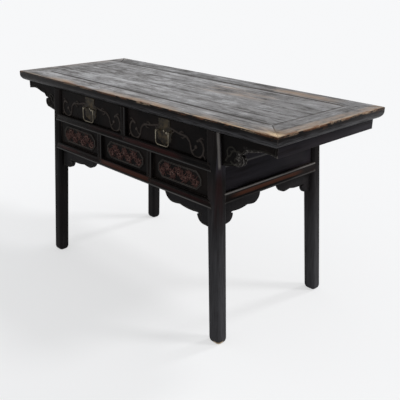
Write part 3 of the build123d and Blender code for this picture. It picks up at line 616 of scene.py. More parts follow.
# %% Lacquer of the carving
def carved(name, raised, share, rubbed=RUBBED_EDGE, rubbed_share=0.5, spots=(), dust=0.0):
    """Dark in the hollows, rubbed to the layers under it on the raised forms, with a painted highlight on the
    crests; spots are painted highlights.
    """
    finish = Finish(name)
    fleck = finish.noise(90.0, detail=5.0, rough=0.65)
    cloud = finish.noise(9.0, detail=4.0, rough=0.6)
    relief = finish.attribute("relief")
    colour = finish.mix(cloud.between(0.35, 0.7), BLACK_LACQUER, BROWN_LACQUER)
    if dust:
        colour = finish.mix((0.6 + 0.4 * fleck.between(0.35, 0.60)) * dust, colour, DUSTY_GREY)
    slopes = relief.between(0.10, 0.75) * (0.35 + fleck).between(0.45, 0.95)
    colour = finish.mix(slopes * share, colour, raised)
    # wear and painted highlight: the crests of the relief take the rubbed tone
    crests = relief.between(0.70, 1.0) * fleck.between(0.45, 0.6)
    colour = finish.mix(crests * rubbed_share, colour, rubbed)
    edge = edge_of(finish, 0.0022) * fleck.between(0.38, 0.62)
    colour = finish.mix(edge * 0.65, colour, RUBBED_EDGE)
    # spots paint highlights, broken up along the edges
    if spots:
        wide_edge = edge_of(finish, 0.006) * fleck.between(0.30, 0.50)
        broken_highlight = (wide_edge + fleck.between(0.53, 0.63) * 0.7).clamped()
    for spot in spots:
        colour = finish.mix(finish.within_all(spot.ranges) * broken_highlight * spot.share, colour, spot.colour)
    normal = finish.bump(fleck, distance=0.0008, strength=0.4)
    return finish.done(colour, 0.38 + 0.25 * fleck, normal, LACQUER_SPECULAR, coat=LACQUER_COAT)


# the raised tone of the drawer strokes is partly wear, partly a painted highlight
scroll_lacquer = carved("scroll_lacquer", (0.062, 0.050, 0.044), 0.8)
medallion_lacquer = carved("medallion_lacquer", (0.088, 0.040, 0.034), 0.95, (0.26, 0.185, 0.155), 0.75)
print("carved", scroll_lacquer.name, medallion_lacquer.name)

# %% [markdown]
# The insides were never painted: the wood is only darkened by age. The brass has gone brown, and
# is brighter where it is rubbed, so its plates stay dark and its bails shine a little.

# %% Inner wood and brass
DARK_GRAIN, PALE_GRAIN, AGED_PATCH = (0.12, 0.07, 0.045), (0.26, 0.165, 0.10), (0.10, 0.06, 0.04)
TARNISH = (0.050, 0.036, 0.026)


def inner_wood():
    finish = Finish("inner_wood")
    fibres = finish.noise(90.0, drawn_out("y", GRAIN), detail=6.0, rough=0.65)
    cloud = finish.noise(6.0, detail=4.0, rough=0.6)
    colour = finish.mix(fibres.between(0.3, 0.75), DARK_GRAIN, PALE_GRAIN)
    colour = finish.mix(cloud.between(0.45, 0.75) * 0.5, colour, AGED_PATCH)
    normal = finish.bump(fibres, distance=0.0008, strength=0.5)
    return finish.done(colour, 0.6 + 0.2 * fibres, normal, specular=0.3)


def brass(name, dark, bright, metallic):
    finish = Finish(name)
    spots = finish.noise(160.0, detail=6.0, rough=0.7)
    cloud = finish.noise(34.0, detail=4.0, rough=0.6)
    rubbed_share = (cloud.between(0.4, 0.7) + edge_of(finish, 0.0012) * 0.7).clamped()
    colour = finish.mix(rubbed_share, dark, bright)
    colour = finish.mix(spots.between(0.55, 0.75) * 0.6, colour, TARNISH)
    normal = finish.bump(spots, distance=0.0004, strength=0.4)
    return finish.done(colour, 0.34 + 0.3 * spots, normal, specular=0.12, metallic=metallic)


inner_material = inner_wood()
plate_brass = brass("plate_brass", dark=(0.012, 0.0095, 0.0065), bright=(0.075, 0.055, 0.030), metallic=0.15)
bail_brass = brass("bail_brass", dark=(0.10, 0.085, 0.062), bright=(0.30, 0.27, 0.21), metallic=0.75)
print("inner finishes", inner_material.name, plate_brass.name, bail_brass.name)

# %% [markdown]
# Every visible piece is made by the same few steps: a mesh gets an object and one material, its
# modifiers are applied, and it is shaded smooth up to its sharp edges. Which edges are sharp
# depends on the piece: rubbed timber, carving, or small round parts.

# %% From a mesh to a piece
SHARP_ANGLE = math.radians(32.0)
CARVED_ANGLE = math.radians(50.0)
ROUND_ANGLE = math.radians(60.0)


def link(name, mesh, material):
    """A new object at the origin with one material."""
    piece = bpy.data.objects.new(name, mesh)
    bpy.context.scene.collection.objects.link(piece)
    mesh.materials.clear()
    mesh.materials.append(material)
    return piece


def apply_modifiers(piece):
    """Puts the mesh that the modifiers make in place of the piece's own; the modifiers go."""
    graph = bpy.context.evaluated_depsgraph_get()
    mesh = bpy.data.meshes.new_from_object(piece.evaluated_get(graph))
    piece.modifiers.clear()
    piece.data = mesh


def shade(mesh, angle):
    """Smooth shading that stops at edges sharper than the angle."""
    work = bmesh.new()
    work.from_mesh(mesh)
    for face in work.faces:
        face.smooth = True
    for edge in work.edges:
        edge.smooth = len(edge.link_faces) == 2 and edge.calc_face_angle(math.pi) < angle
    work.to_mesh(mesh)
    work.free()


print("sharp edges from", [round(math.degrees(a)) for a in (SHARP_ANGLE, CARVED_ANGLE, ROUND_ANGLE)])

# %% [markdown]
# A finished piece moves with the body that carries its solid.
# Most pieces also take the solid's place; small ones, such as tacks, only stand on it.

# %% Taking a solid's place
dressed = set()


def slot_of(node):
    return next(part["material_slot"] for part in frame["record"]["subparts"] if part["node"] == node)


def fixed_on(piece, node):
    """A small piece that stands on a CAD node and moves with it."""
    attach(piece, body_of(frame["nodes"][node])[0])
    slot_of(node)


def stand_for(piece, node):
    """Puts a piece in the place of a CAD node."""
    fixed_on(piece, node)
    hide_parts(node)
    dressed.add(node)


def box_middle(node):
    """The middle of a node's box, in millimetres."""
    low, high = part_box(node)
    return (low + high) / 2 * MM


print("slots", sorted({slot_of(node) for node in frame["nodes"]}))

# %% [markdown]
# Damp floors wear the feet of a table round. A bevel would round only the edge of the sole, and
# evenly. So rings are cut into the lowest part of a leg and drawn in towards its axis, a little
# more at the corners, along a quarter of an ellipse.

# %% Feet
FOOT_HEIGHT = 0.020
FOOT_INSET = 0.0085
FOOT_RINGS = 7
RING_CROWDING = 1.6  # above 1, the rings lie closer together near the floor
CORNER_DRAW = 0.3  # how much more the corners of a foot are worn than its sides


def round_foot(work):
    """Rounds the lowest part of a leg."""
    for ring in range(1, FOOT_RINGS + 1):
        level = FOOT_HEIGHT * (ring / FOOT_RINGS) ** RING_CROWDING
        everything = [*work.verts, *work.edges, *work.faces]
        bmesh.ops.bisect_plane(work, geom=everything, plane_co=(0, 0, level), plane_no=(0, 0, 1))
    foot = [vert for vert in work.verts if vert.co.z < FOOT_HEIGHT]
    low = Vector([min(vert.co[axis] for vert in foot) for axis in range(3)])
    high = Vector([max(vert.co[axis] for vert in foot) for axis in range(3)])
    middle, half = (low + high) / 2, (high - low) / 2
    for vert in foot:
        depth = 1 - vert.co.z / FOOT_HEIGHT
        inset = FOOT_INSET * (1 - math.sqrt(max(0.0, 1 - depth**2)))
        across, along = (vert.co.x - middle.x) / half.x, (vert.co.y - middle.y) / half.y
        draw = inset * (1 + CORNER_DRAW * abs(across * along))
        vert.co.x -= draw * across
        vert.co.y -= draw * along


print("feet", FOOT_HEIGHT * MM, "mm high, drawn in by", FOOT_INSET * MM, "mm")

# %% [markdown]
# Edges on old furniture are never sharp. A CAD solid arrives as loose triangles with knife
# edges, so a copy of it is welded, its flat faces are joined up again, and a narrow bevel rounds
# each edge; the copy then stands for the solid.

# %% Rubbed copies of the plain pieces
WELD = 1e-5
FLAT_ANGLE = math.radians(1.0)
EDGE_WIDTH = 0.0012


def welded(node):
    """The CAD solid as a bmesh with its triangles joined into flat faces."""
    work = bmesh.new()
    work.from_mesh(frame["nodes"][node].data)
    bmesh.ops.remove_doubles(work, verts=work.verts, dist=WELD)
    bmesh.ops.dissolve_limit(work, angle_limit=FLAT_ANGLE, verts=work.verts, edges=work.edges)
    return work


def rubbed(node, material):
    """A copy of a CAD solid with its edges rounded by wear."""
    mesh = bpy.data.meshes.new(node)
    work = welded(node)
    if node.startswith("leg_"):
        round_foot(work)
    work.to_mesh(mesh)
    work.free()
    piece = link("worn_" + node, mesh, material)
    bevel = piece.modifiers.new("rubbed edges", "BEVEL")
    bevel.width = EDGE_WIDTH
    bevel.segments = 2
    bevel.limit_method = "ANGLE"
    bevel.angle_limit = SHARP_ANGLE
    bevel.use_clamp_overlap = True
    apply_modifiers(piece)
    shade(piece.data, SHARP_ANGLE)
    stand_for(piece, node)


print("edges rounded by", EDGE_WIDTH * MM, "mm")

# %% [markdown]
# Carving is low relief on a flat ground. It could be a bump in the finish, but then it would
# stay flat against the light and in the mesh. So it is drawn with strokes: a stroke is a smooth
# line with a height, which swells and thins like a gouged leaf.

# %% Drawn strokes
Stroke = namedtuple("Stroke", "line halves height")


def smooth_line(points, steps=8):
    """A curve through the points (Catmull-Rom)."""
    knots = np.array([points[0], *points, points[-1]], float)
    line = []
    for a, b, c, d in zip(knots, knots[1:], knots[2:], knots[3:]):
        for t in np.arange(steps) / steps:
            bend = (2 * a - 5 * b + 4 * c - d) * t**2 + (3 * b - a - 3 * c + d) * t**3
            line.append(0.5 * (2 * b + (c - a) * t + bend))
    return np.array([*line, knots[-1]])


def stroke(points, start, end, height, smooth=True):
    """A drawn stroke: a line, its half width at both ends and its height, all in millimetres."""
    line = smooth_line(points) if smooth else np.array(points, float)
    return Stroke(line, np.linspace(start, end, len(line)), height)


def dome(centre, radius, height):
    """A round boss: a stroke that is hardly longer than a dot."""
    return stroke([centre, (centre[0] + 0.1, centre[1])], radius, radius, height, smooth=False)


def on_circle(centre, radius, angle):
    return (centre[0] + radius * math.cos(angle), centre[1] + radius * math.sin(angle))


def spiral(centre, outer, inner, start, turns, steps=22):
    angles = start + np.linspace(0, turns * 2 * math.pi, steps)
    radii = np.linspace(outer, inner, steps)
    return np.stack([centre[0] + radii * np.cos(angles), centre[1] + radii * np.sin(angles)], 1)


print("a smooth line through 3 points has", len(smooth_line([(0, 0), (1, 0), (1, 1)])), "points")

# %% [markdown]
# A stroke has a round section, highest along its line. Where strokes cross, the highest one
# shows, as one leaf lies over another. Only the spots near a stroke are worked out, because most
# of the face lies far from it.

# %% Heights of the strokes
TINY = 1e-9


def round_section(away, half):
    """The height of a round section, from 1 in its middle to 0 at its half width."""
    return np.sqrt(np.clip(1 - (away / half) ** 2, 0, 1))


def nearest_on(spots, a, b):
    """How far along the run from a to b each spot lies, from 0 to 1, and how far it is from it."""
    run = b - a
    share = np.clip((spots - a) @ run / max(run @ run, TINY), 0, 1)
    return share, np.linalg.norm(spots - a - share[:, None] * run, axis=1)


def stroke_heights(spots, strokes):
    """The height of the highest stroke over each spot."""
    heights = np.zeros(len(spots))
    for line, halves, height in strokes:
        low, high = line.min(0) - halves.max(), line.max(0) + halves.max()
        near = np.nonzero(((spots >= low) & (spots <= high)).all(1))[0]
        for a, b, half_a, half_b in zip(line, line[1:], halves, halves[1:]):
            share, away = nearest_on(spots[near], a, b)
            lifted = height * round_section(away, half_a + (half_b - half_a) * share)
            heights[near] = np.maximum(heights[near], lifted)
    return heights


print("height beside a stroke", round_section(np.array([0.0, 0.5, 1.0]), 1.0).round(2))

# %% [markdown]
# The carving has to stay inside the outline of its face, and some lines run along that outline.
# Both are asked of the outline's segments: is a spot inside them, and how far away are they?


# %% Asking the outline
def outline_distance(spots, segments):
    """How far each spot is from the nearest of the segments."""
    best = np.full(len(spots), np.inf)
    for a, b in segments:
        best = np.minimum(best, nearest_on(spots, a, b)[1])
    return best


def inside(spots, segments):
    """Even-odd test: a spot is inside if a line from it to the right crosses an odd number of segments."""
    crossed = np.zeros(len(spots), bool)
    for a, b in segments:
        over = (a[1] > spots[:, 1]) != (b[1] > spots[:, 1])
        rise = b[1] - a[1] if b[1] != a[1] else TINY
        crossed ^= over & (spots[:, 0] < a[0] + (spots[:, 1] - a[1]) * (b[0] - a[0]) / rise)
    return crossed


square_corners = np.array([(0.0, 0.0), (4.0, 0.0), (4.0, 4.0), (0.0, 4.0)])
square = list(zip(square_corners, np.roll(square_corners, -1, axis=0)))
middle_spot = np.array([(2.0, 2.0)])
print("middle of a square inside", inside(middle_spot, square)[0], outline_distance(middle_spot, square)[0])

# %% [markdown]
# The flat face to be carved is taken out along its own outline and laid again as a fine skin of
# triangles. A finer mesh all over the solid would do as well, but here only the carved face needs
# it, and the solid stays closed because the skin keeps the points of the outline. Long edges of
# the outline are cut up first, so that its triangles aren't slivers.

# %% The face that is carved
LOOKS_TOWARDS = 0.97  # cosine under which a face looks another way
SMALL_SHARE = 0.05  # faces under this share of the largest are only chamfers
IN_PLANE = 0.9995
PLANE_SLACK = 3e-5
EDGE_STEP = 4.0


def outermost_plane(work, facing):
    """The normal and level of the outermost large face that looks along facing."""
    work.normal_update()
    towards = [face for face in work.faces if face.normal.dot(facing) > LOOKS_TOWARDS]
    enough = SMALL_SHARE * max(face.calc_area() for face in towards)
    towards = [face for face in towards if face.calc_area() > enough]
    outermost = max(towards, key=lambda face: face.calc_center_median().dot(facing))
    normal = outermost.normal.copy()
    return normal, outermost.calc_center_median().dot(normal)


def faces_in(work, normal, level):
    """The faces that lie in one plane."""
    aligned = [face for face in work.faces if face.normal.dot(normal) > IN_PLANE]
    return {face for face in aligned if abs(face.verts[0].co.dot(normal) - level) < PLANE_SLACK}


def rim_of(work, faces):
    """The edges along the border of some faces."""
    return [edge for edge in work.edges if sum(face in faces for face in edge.link_faces) == 1]


def cut_up(edges):
    """Cuts edges into equal parts of a few millimetres."""
    for edge in edges:
        start, end = edge.verts
        for count in range(int(edge.calc_length() * MM / EDGE_STEP), 0, -1):
            start = bmesh.utils.edge_split(edge, start, 1 / (count + 1))[1]
            edge = next(part for part in start.link_edges if end in part.verts)


print("outline cut up into steps of", EDGE_STEP, "mm at most")

# %% [markdown]
# The skin's inner points lie in rows, shifted by half a step from row to row, which gives even
# triangles. Delaunay triangulation joins them to the outline; what it adds outside the outline
# or across a hole is dropped.

# %% The skin
ROW_SHARE = 0.866  # height of an even triangle over its side
CLEAR_SHARE = 0.45  # how far the skin's points keep from the outline, in steps
MERGE_DISTANCE = 1e-6
SLIVER = 0.02  # twice the area under which a triangle is dropped


def skin_grid(rim_spots, segments, spacing):
    """The skin's inner points, clear of the outline."""
    low, high = rim_spots.min(0), rim_spots.max(0)
    rows = np.arange(low[1] + spacing / 2, high[1], spacing * ROW_SHARE)
    columns = np.arange(low[0], high[0], spacing)
    grid = np.array([(u + row % 2 * spacing / 2, v) for row, v in enumerate(rows) for u in columns])
    grid = grid[inside(grid, segments)]
    return grid[outline_distance(grid, segments) > spacing * CLEAR_SHARE]


def skin_triangles(spots, pairs, segments):
    """Triangles over the spots that keep the outline's pairs, all turned the same way."""
    made = delaunay_2d_cdt([Vector(spot) for spot in spots], pairs, [], 0, MERGE_DISTANCE)
    made_faces, sources = made[2], made[3]
    triangles = np.array([[sources[corner][0] for corner in face] for face in made_faces])
    triangles = triangles[inside(spots[triangles].mean(1), segments)]
    corners = spots[triangles]
    one, other = corners[:, 1] - corners[:, 0], corners[:, 2] - corners[:, 0]
    areas = one[:, 0] * other[:, 1] - one[:, 1] * other[:, 0]
    wide = zip(triangles[abs(areas) > SLIVER], areas[abs(areas) > SLIVER])
    return [(a, b, c) if area > 0 else (a, c, b) for (a, b, c), area in wide]


print("slivers under", SLIVER / 2, "mm2 are dropped")

# %% [markdown]
# To carve is to lay the skin and lift each of its points along the face's normal by the drawn
# height. The outline itself drops a little, which rounds the arris as wear does. The height also
# goes into the points as their relief, for the finish.

# %% Carving
ARRIS_DROP = 0.7
ARRIS_WIDTH = 1.8
LOWEST_CREST = 0.5  # relief is counted against at least this height
FRONT, RIGHTWARDS = Vector((0, -1, 0)), Vector((1, 0, 0))


def carve(work, lift, spacing, facing, across, arris_drop):
    """Lays the outermost flat face that looks along facing again, lifted by lift(spots, segments)."""
    relief = work.verts.layers.float.new("relief")
    normal, level = outermost_plane(work, facing)
    cut_up(rim_of(work, faces_in(work, normal, level)))
    face = faces_in(work, normal, level)
    rim = rim_of(work, face)
    rightwards = (across - across.dot(normal) * normal).normalized()
    upwards = normal.cross(rightwards)
    rim_verts = list(dict.fromkeys(vert for edge in rim for vert in edge.verts))
    number = {vert: count for count, vert in enumerate(rim_verts)}
    rim_spots = np.array([(v.co.dot(rightwards) * MM, v.co.dot(upwards) * MM) for v in rim_verts])
    pairs = [(number[edge.verts[0]], number[edge.verts[1]]) for edge in rim]
    segments = [(rim_spots[a], rim_spots[b]) for a, b in pairs]
    bmesh.ops.delete(work, geom=list(face), context="FACES")
    grid = skin_grid(rim_spots, segments, spacing)
    places = [normal * level + rightwards * (u / MM) + upwards * (v / MM) for u, v in grid]
    verts = rim_verts + [work.verts.new(place) for place in places]
    spots = np.vstack([rim_spots, grid])
    dropped = arris_drop * np.clip(1 - outline_distance(spots, segments) / ARRIS_WIDTH, 0, 1) ** 2
    heights = lift(spots, segments) - dropped
    crest = max(heights.max(), LOWEST_CREST)
    for vert, height in zip(verts, heights):
        vert.co += normal * (height / MM)
        vert[relief] = max(0.0, height / crest)
    triangles = skin_triangles(spots, pairs, segments)
    for triangle in triangles:
        work.faces.new([verts[corner] for corner in triangle])
    return len(triangles)


def carved_piece(node, material, lift, spacing, facing=FRONT, across=RIGHTWARDS, arris_drop=ARRIS_DROP):
    """A copy of a CAD solid with its outermost face carved; it stands for the solid."""
    work = welded(node)
    count = carve(work, lift, spacing, facing, across, arris_drop)
    open_edges = sum(len(edge.link_faces) != 2 for edge in work.edges)
    mesh = bpy.data.meshes.new(node)
    work.to_mesh(mesh)
    work.free()
    piece = link("carved_" + node, mesh, material)
    shade(mesh, CARVED_ANGLE)
    stand_for(piece, node)
    print("carved", node, count, "faces, open edges", open_edges)


print("arris dropped by", ARRIS_DROP, "mm over", ARRIS_WIDTH, "mm")

# %% [markdown]
# Each drawer carries one drawing, mirrored about its middle: an arm leaves the brass plate, rises
# a little and rolls up into a snail scroll round a boss. Its points are in millimetres, across
# from the drawer's middle and up from the floor.

# %% Drawer scrolls
DRAWER_SPACING = 2.2
SCROLL_ARM = [(33, 783), (55, 779), (80, 773), (112, 770), (134, 757), (141, 743), (147, 722), (163, 706)]
SCROLL_ARM += [(184, 704), (203, 717), (209, 740), (203, 759), (190, 769), (177, 764)]
SCROLL_LEAVES = [
    [(80, 773), (92, 782), (104, 781)],
    [(112, 770), (103, 760), (92, 760)],
    [(147, 722), (158, 727), (165, 736)],
    [(204, 718), (214, 712), (217, 702)],
    [(55, 779), (48, 770), (40, 768)],
    [(163, 706), (152, 700), (143, 703)],
    [(108, 772), (122, 769), (133, 760), (138, 748)],
    [(186, 770), (196, 778), (206, 777)],
]
BOSS = (169, 741)


def drawer_lift(middle_x):
    strokes = [stroke(SCROLL_ARM, start=4.0, end=5.4, height=3.6)]
    strokes += [stroke(leaf, start=4.4, end=2.0, height=3.2) for leaf in SCROLL_LEAVES]
    strokes.append(dome(BOSS, radius=8.0, height=4.2))

    def lift(spots, segments):
        mirrored = np.stack([np.abs(spots[:, 0] - middle_x), spots[:, 1]], 1)
        return stroke_heights(mirrored, strokes)

    return lift


for side in ("left", "right"):
    node = f"drawer_{side}_front"
    carved_piece(node, scroll_lacquer, drawer_lift(box_middle(node).x), DRAWER_SPACING)

# %% [markdown]
# The three compartment panels carry a medallion of scrolling foliage: a wavy stem, a leaf scroll
# rolled up in each bay of the wave, and small lobes round each scroll. They are drawn from one
# fixed seed per panel, so the three differ as hand work does and come out the same each time.

# %% Medallions
MEDALLION_SPACING = 1.6
MEDALLION_BAYS = (-94, -66, -35, -4, 27, 58, 90)
STEM_REACH, STEM_BAY, STEM_WAVE = 104, 31, 16
CURL_TURNS = 1.3
LOBES = 10
LOBE_TURN = 0.63
LOBE_ROOT, LOBE_BEND = 11, 16
BORDER_CLEAR = 5.5
GROUND_DROP = 1.0


def foliage(middle_x, middle_z, seed):
    """Strokes of one medallion."""
    draw = np.random.default_rng(seed)
    across = np.linspace(-STEM_REACH, STEM_REACH, 40)
    wave = STEM_WAVE * np.sin(across / STEM_BAY * math.pi + seed)
    stem = np.stack([middle_x + across, middle_z + wave], 1)
    strokes = [stroke(stem, start=2.0, end=2.0, height=2.2, smooth=False)]
    for bay, x in enumerate(MEDALLION_BAYS):
        flip = 1 if bay % 2 else -1
        centre = (middle_x + x + draw.uniform(-3, 3), middle_z + flip * draw.uniform(9, 14))
        start = draw.uniform(0, 2 * math.pi)
        curl = spiral(centre, draw.uniform(10, 13), 2.5, start, flip * CURL_TURNS)
        strokes.append(stroke(curl, start=3.0, end=2.4, height=3.2, smooth=False))
        for lobe in range(LOBES):
            angle = start + lobe * LOBE_TURN + draw.uniform(-0.2, 0.2)
            reach = draw.uniform(19, 30)
            bend = angle + flip * 0.35
            line = [on_circle(centre, LOBE_ROOT, angle), on_circle(centre, LOBE_BEND, bend)]
            line.append(on_circle(centre, reach, bend + flip * 0.2))
            strokes.append(stroke(line, start=3.6, end=1.9, height=2.8))
    return strokes


def medallion_lift(middle, seed):
    """Foliage on a sunk ground, clear of the border."""
    strokes = foliage(middle.x, middle.z, seed)

    def lift(spots, segments):
        clear = outline_distance(spots, segments) - BORDER_CLEAR
        leaves = stroke_heights(spots, strokes) * np.clip(clear / 2, 0, 1)
        return leaves - GROUND_DROP * np.clip((clear + 2) / 1.5, 0, 1)

    return lift


for seed, side in enumerate(("left", "middle", "right")):
    node = f"carved_panel_{side}"
    carved_piece(node, medallion_lacquer, medallion_lift(box_middle(node), seed), MEDALLION_SPACING)

# %% [markdown]
# Geometry Nodes make what repeats or follows a path. Every tree here starts from named inputs and
# ends in Realize Instances and Set Material, so that its result can be made a plain mesh. The
# mesh is welded and its normals are turned outwards before it is used.


# %% Growing a piece
def new_tree(name, numbers):
    """A geometry tree with named inputs, and the node that its last result goes into."""
    tree = bpy.data.node_groups.new(name, "GeometryNodeTree")
    tree.interface.new_socket("Geometry", in_out="INPUT", socket_type="NodeSocketGeometry")
    for label, kind in numbers.items():
        tree.interface.new_socket(label, in_out="INPUT", socket_type=kind)
    tree.interface.new_socket("Finish", in_out="INPUT", socket_type="NodeSocketMaterial")
    tree.interface.new_socket("Geometry", in_out="OUTPUT", socket_type="NodeSocketGeometry")
    start, end = tree.nodes.new("NodeGroupInput"), tree.nodes.new("NodeGroupOutput")
    real = tree.nodes.new("GeometryNodeRealizeInstances")
    cover = tree.nodes.new("GeometryNodeSetMaterial")
    tree.links.new(real.outputs[0], cover.inputs["Geometry"])
    tree.links.new(start.outputs["Finish"], cover.inputs["Material"])
    tree.links.new(cover.outputs[0], end.inputs[0])
    return tree, start, real


def grown(name, points, edges, tree, values, material):
    """A plain mesh grown by a geometry tree from points and edges, with its inputs set by name."""
    mesh = bpy.data.meshes.new(name)
    mesh.from_pydata(points, edges, [])
    piece = link(name, mesh, material)
    modifier = piece.modifiers.new(tree.name, "NODES")
    modifier.node_group = tree
    values = {**values, "Finish": material}
    for item in tree.interface.items_tree:
        if item.in_out == "INPUT" and item.name in values:
            modifier[item.identifier] = values[item.name]
    apply_modifiers(piece)
    work = bmesh.new()
    work.from_mesh(piece.data)
    bmesh.ops.remove_doubles(work, verts=work.verts, dist=WELD)
    bmesh.ops.recalc_face_normals(work, faces=work.faces)
    work.to_mesh(piece.data)
    work.free()
    shade(piece.data, ROUND_ANGLE)
    print("grown", name, len(piece.data.polygons), "faces")
    return piece


print("trees end in Realize Instances and Set Material")

# %% [markdown]
# Two raised lines run round each medallion. A loop of points becomes a curve, and a small circle
# is swept along it; the width of the line and the sides of its section are inputs of the tree.

# %% Lines round the medallions
MEDALLION_HALF = (120.0, 37.0)
MEDALLION_CORNER = 24.0
CORNER_SHARE = 0.41  # how much shorter a cut corner gets for each step inwards
BORDER_LINES = {"outer": (2.5, 3.0), "inner": (6.5, 2.0)}  # inset and width in millimetres
BORDER_TONE = (0.090, 0.082, 0.074)
border_lacquer = lacquer("border_lacquer", "x", [Spot({"z": (0.0, 1.0, 0.1)}, BORDER_TONE, 0.8)])


def bead_tree():
    inputs = {"Bead Width": "NodeSocketFloat", "Sides": "NodeSocketInt"}
    tree, start, real = new_tree("bead along a path", inputs)
    curve, sweep = tree.nodes.new("GeometryNodeMeshToCurve"), tree.nodes.new("GeometryNodeCurveToMesh")
    circle = tree.nodes.new("GeometryNodeCurvePrimitiveCircle")
    half = tree.nodes.new("ShaderNodeMath")
    half.operation = "MULTIPLY"
    half.inputs[1].default_value = 0.5
    tree.links.new(start.outputs["Geometry"], curve.inputs[0])
    tree.links.new(start.outputs["Bead Width"], half.inputs[0])
    tree.links.new(half.outputs[0], circle.inputs["Radius"])
    tree.links.new(start.outputs["Sides"], circle.inputs["Resolution"])
    tree.links.new(curve.outputs[0], sweep.inputs["Curve"])
    tree.links.new(circle.outputs[0], sweep.inputs["Profile Curve"])
    tree.links.new(sweep.outputs[0], real.inputs[0])
    return tree


def medallion_loop(node, inset):
    """The medallion's eight corners, drawn in by the inset, on the face of its panel."""
    middle, front = box_middle(node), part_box(node)[0].y
    a, b = (half - inset for half in MEDALLION_HALF)
    c = MEDALLION_CORNER - CORNER_SHARE * inset
    upper = [(a, b - c), (a - c, b), (c - a, b), (-a, b - c)]
    lower = [(-x, -z) for x, z in upper]
    return [((middle.x + x) / MM, front, (middle.z + z) / MM) for x, z in upper + lower]


bead_along = bead_tree()
for side in ("left", "middle", "right"):
    node = f"carved_panel_{side}"
    for name, (inset, width) in BORDER_LINES.items():
        loop = medallion_loop(node, inset)
        edges = [(i, (i + 1) % len(loop)) for i in range(len(loop))]
        values = {"Bead Width": width / MM, "Sides": 10}
        border = grown(f"medallion_{side}_{name}_line", loop, edges, bead_along, values, border_lacquer)
        fixed_on(border, node)

# %% [markdown]
# Each brass plate is pinned with three small round-headed tacks. Instances of one head on a few
# points keep them alike, and the head has few faces because it is repeated.

# %% Tacks of the plates
TACK_ACROSS = 0.60  # share of the plate's half width
TACK_FROM_TOP, TACK_FROM_BOTTOM = 0.005, 0.006
TACK_RADIUS = 0.0018


def tack_tree():
    tree, start, real = new_tree("heads on points", {"Head Radius": "NodeSocketFloat"})
    head = tree.nodes.new("GeometryNodeMeshUVSphere")
    scatter = tree.nodes.new("GeometryNodeInstanceOnPoints")
    head.inputs["Segments"].default_value = 10
    head.inputs["Rings"].default_value = 6
    tree.links.new(start.outputs["Head Radius"], head.inputs["Radius"])
    tree.links.new(start.outputs["Geometry"], scatter.inputs["Points"])
    tree.links.new(head.outputs["Mesh"], scatter.inputs["Instance"])
    tree.links.new(scatter.outputs[0], real.inputs[0])
    return tree


tack_heads = tack_tree()
for side in ("left", "right"):
    node = f"drawer_{side}_pull_plate"
    low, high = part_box(node)
    middle, reach = (low.x + high.x) / 2, (high.x - low.x) / 2 * TACK_ACROSS
    spots = [(middle + turn * reach, low.y, high.z - TACK_FROM_TOP) for turn in (-1, 1)]
    spots.append((middle, low.y, low.z + TACK_FROM_BOTTOM))
    values = {"Head Radius": TACK_RADIUS}
    fixed_on(grown(f"plate_tacks_{side}", spots, [], tack_heads, values, bail_brass), node)

# %% [markdown]
# Spandrels and brackets share the tones of one lacquer. The near right bracket's hook and wing
# carry painted highlights, broken up along their edges; the spandrels hang in the shade and keep
# their dust.

# %% Lacquer of spandrels and brackets
# painted highlights on the hook and the wing of the near right bracket
HOOK_HIGHLIGHT = {"x": (0.596, 0.632, 0.005), "y": (-0.30, -0.25, 0.01), "z": (0.704, 0.760, 0.005)}
WING_HIGHLIGHT = {"x": (0.630, 0.790, 0.010), "y": (-0.30, -0.25, 0.01), "z": (0.755, 0.786, 0.004)}
bracket_highlight_spots = [Spot(HOOK_HIGHLIGHT, PAINTED_BRIGHT_HIGHLIGHT, 0.9), Spot(WING_HIGHLIGHT, PAINTED_BRIGHT_HIGHLIGHT, 0.7)]
edge_tones = {
    "raised": (0.036, 0.033, 0.028),
    "share": 0.7,
    "rubbed": (0.16, 0.15, 0.125),
    "rubbed_share": 0.40,
}
bracket_lacquer = carved("bracket_lacquer", **edge_tones, spots=bracket_highlight_spots)
spandrel_lacquer = carved("spandrel_lacquer", **edge_tones, dust=0.40)
# the places are painted highlights
print("places with chips on the near right bracket", len(bracket_highlight_spots))

# %% [markdown]
# The spandrels under the rails and the brackets under the overhanging ends have a cusped edge,
# and a raised line follows it, with a fainter one inside. The lines could be drawn cusp by cusp.
# They are found by their distance from the free edge instead, so they follow any cusp. The
# brackets carry a scroll as well.

# %% Spandrels and brackets
SPANDREL_SPACING, BRACKET_SPACING = 2.2, 2.0
LINE_INSET = 6.5
LINE_HALF = 2.6
LINE_RISE = 2.2
INNER_INSET, INNER_SHARE = 2.4 * LINE_INSET, 0.55
FIELD_DROP = 0.6
TOP_SLACK = 2.0
SPANDREL_END, BRACKET_END = 505, 545  # where they meet the leg, from the middle of the table
BRACKET_SCROLLS = [
    [(548, 722), (556, 738), (553, 756), (561, 770), (577, 774), (590, 768)],
    [(572, 722), (584, 716), (600, 719), (608, 730), (602, 740), (592, 738), (589, 730)],
    [(556, 738), (566, 742), (573, 752), (571, 760)],
    [(576, 758), (586, 764), (598, 762), (608, 766)],
]


def edge_line_lift(node, meets_leg, strokes=()):
    """A raised line along the free edge: not along the top, nor along the side that meets the leg."""
    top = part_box(node)[1].z * MM - TOP_SLACK

    def lift(spots, segments):
        middles = [((a[0] + b[0]) / 2, (a[1] + b[1]) / 2) for a, b in segments]
        free = [ends for ends, (u, v) in zip(segments, middles) if v <= top and not meets_leg(abs(u))]
        away = outline_distance(spots, free)
        line = LINE_RISE * round_section(away - LINE_INSET, LINE_HALF)
        inner = INNER_SHARE * LINE_RISE * round_section(away - INNER_INSET, LINE_HALF)
        raised = np.maximum(np.maximum(line, inner), stroke_heights(spots, strokes))
        return raised - FIELD_DROP * np.clip((away - LINE_INSET) / LINE_HALF, 0, 1)

    return lift


def bracket_strokes(mirror):
    """The bracket's carved scroll, mirrored for the side it is seen from."""
    lines = [[(mirror * x, z) for x, z in line] for line in BRACKET_SCROLLS]
    return [stroke(line, start=5.6, end=3.6, height=3.0) for line in lines]


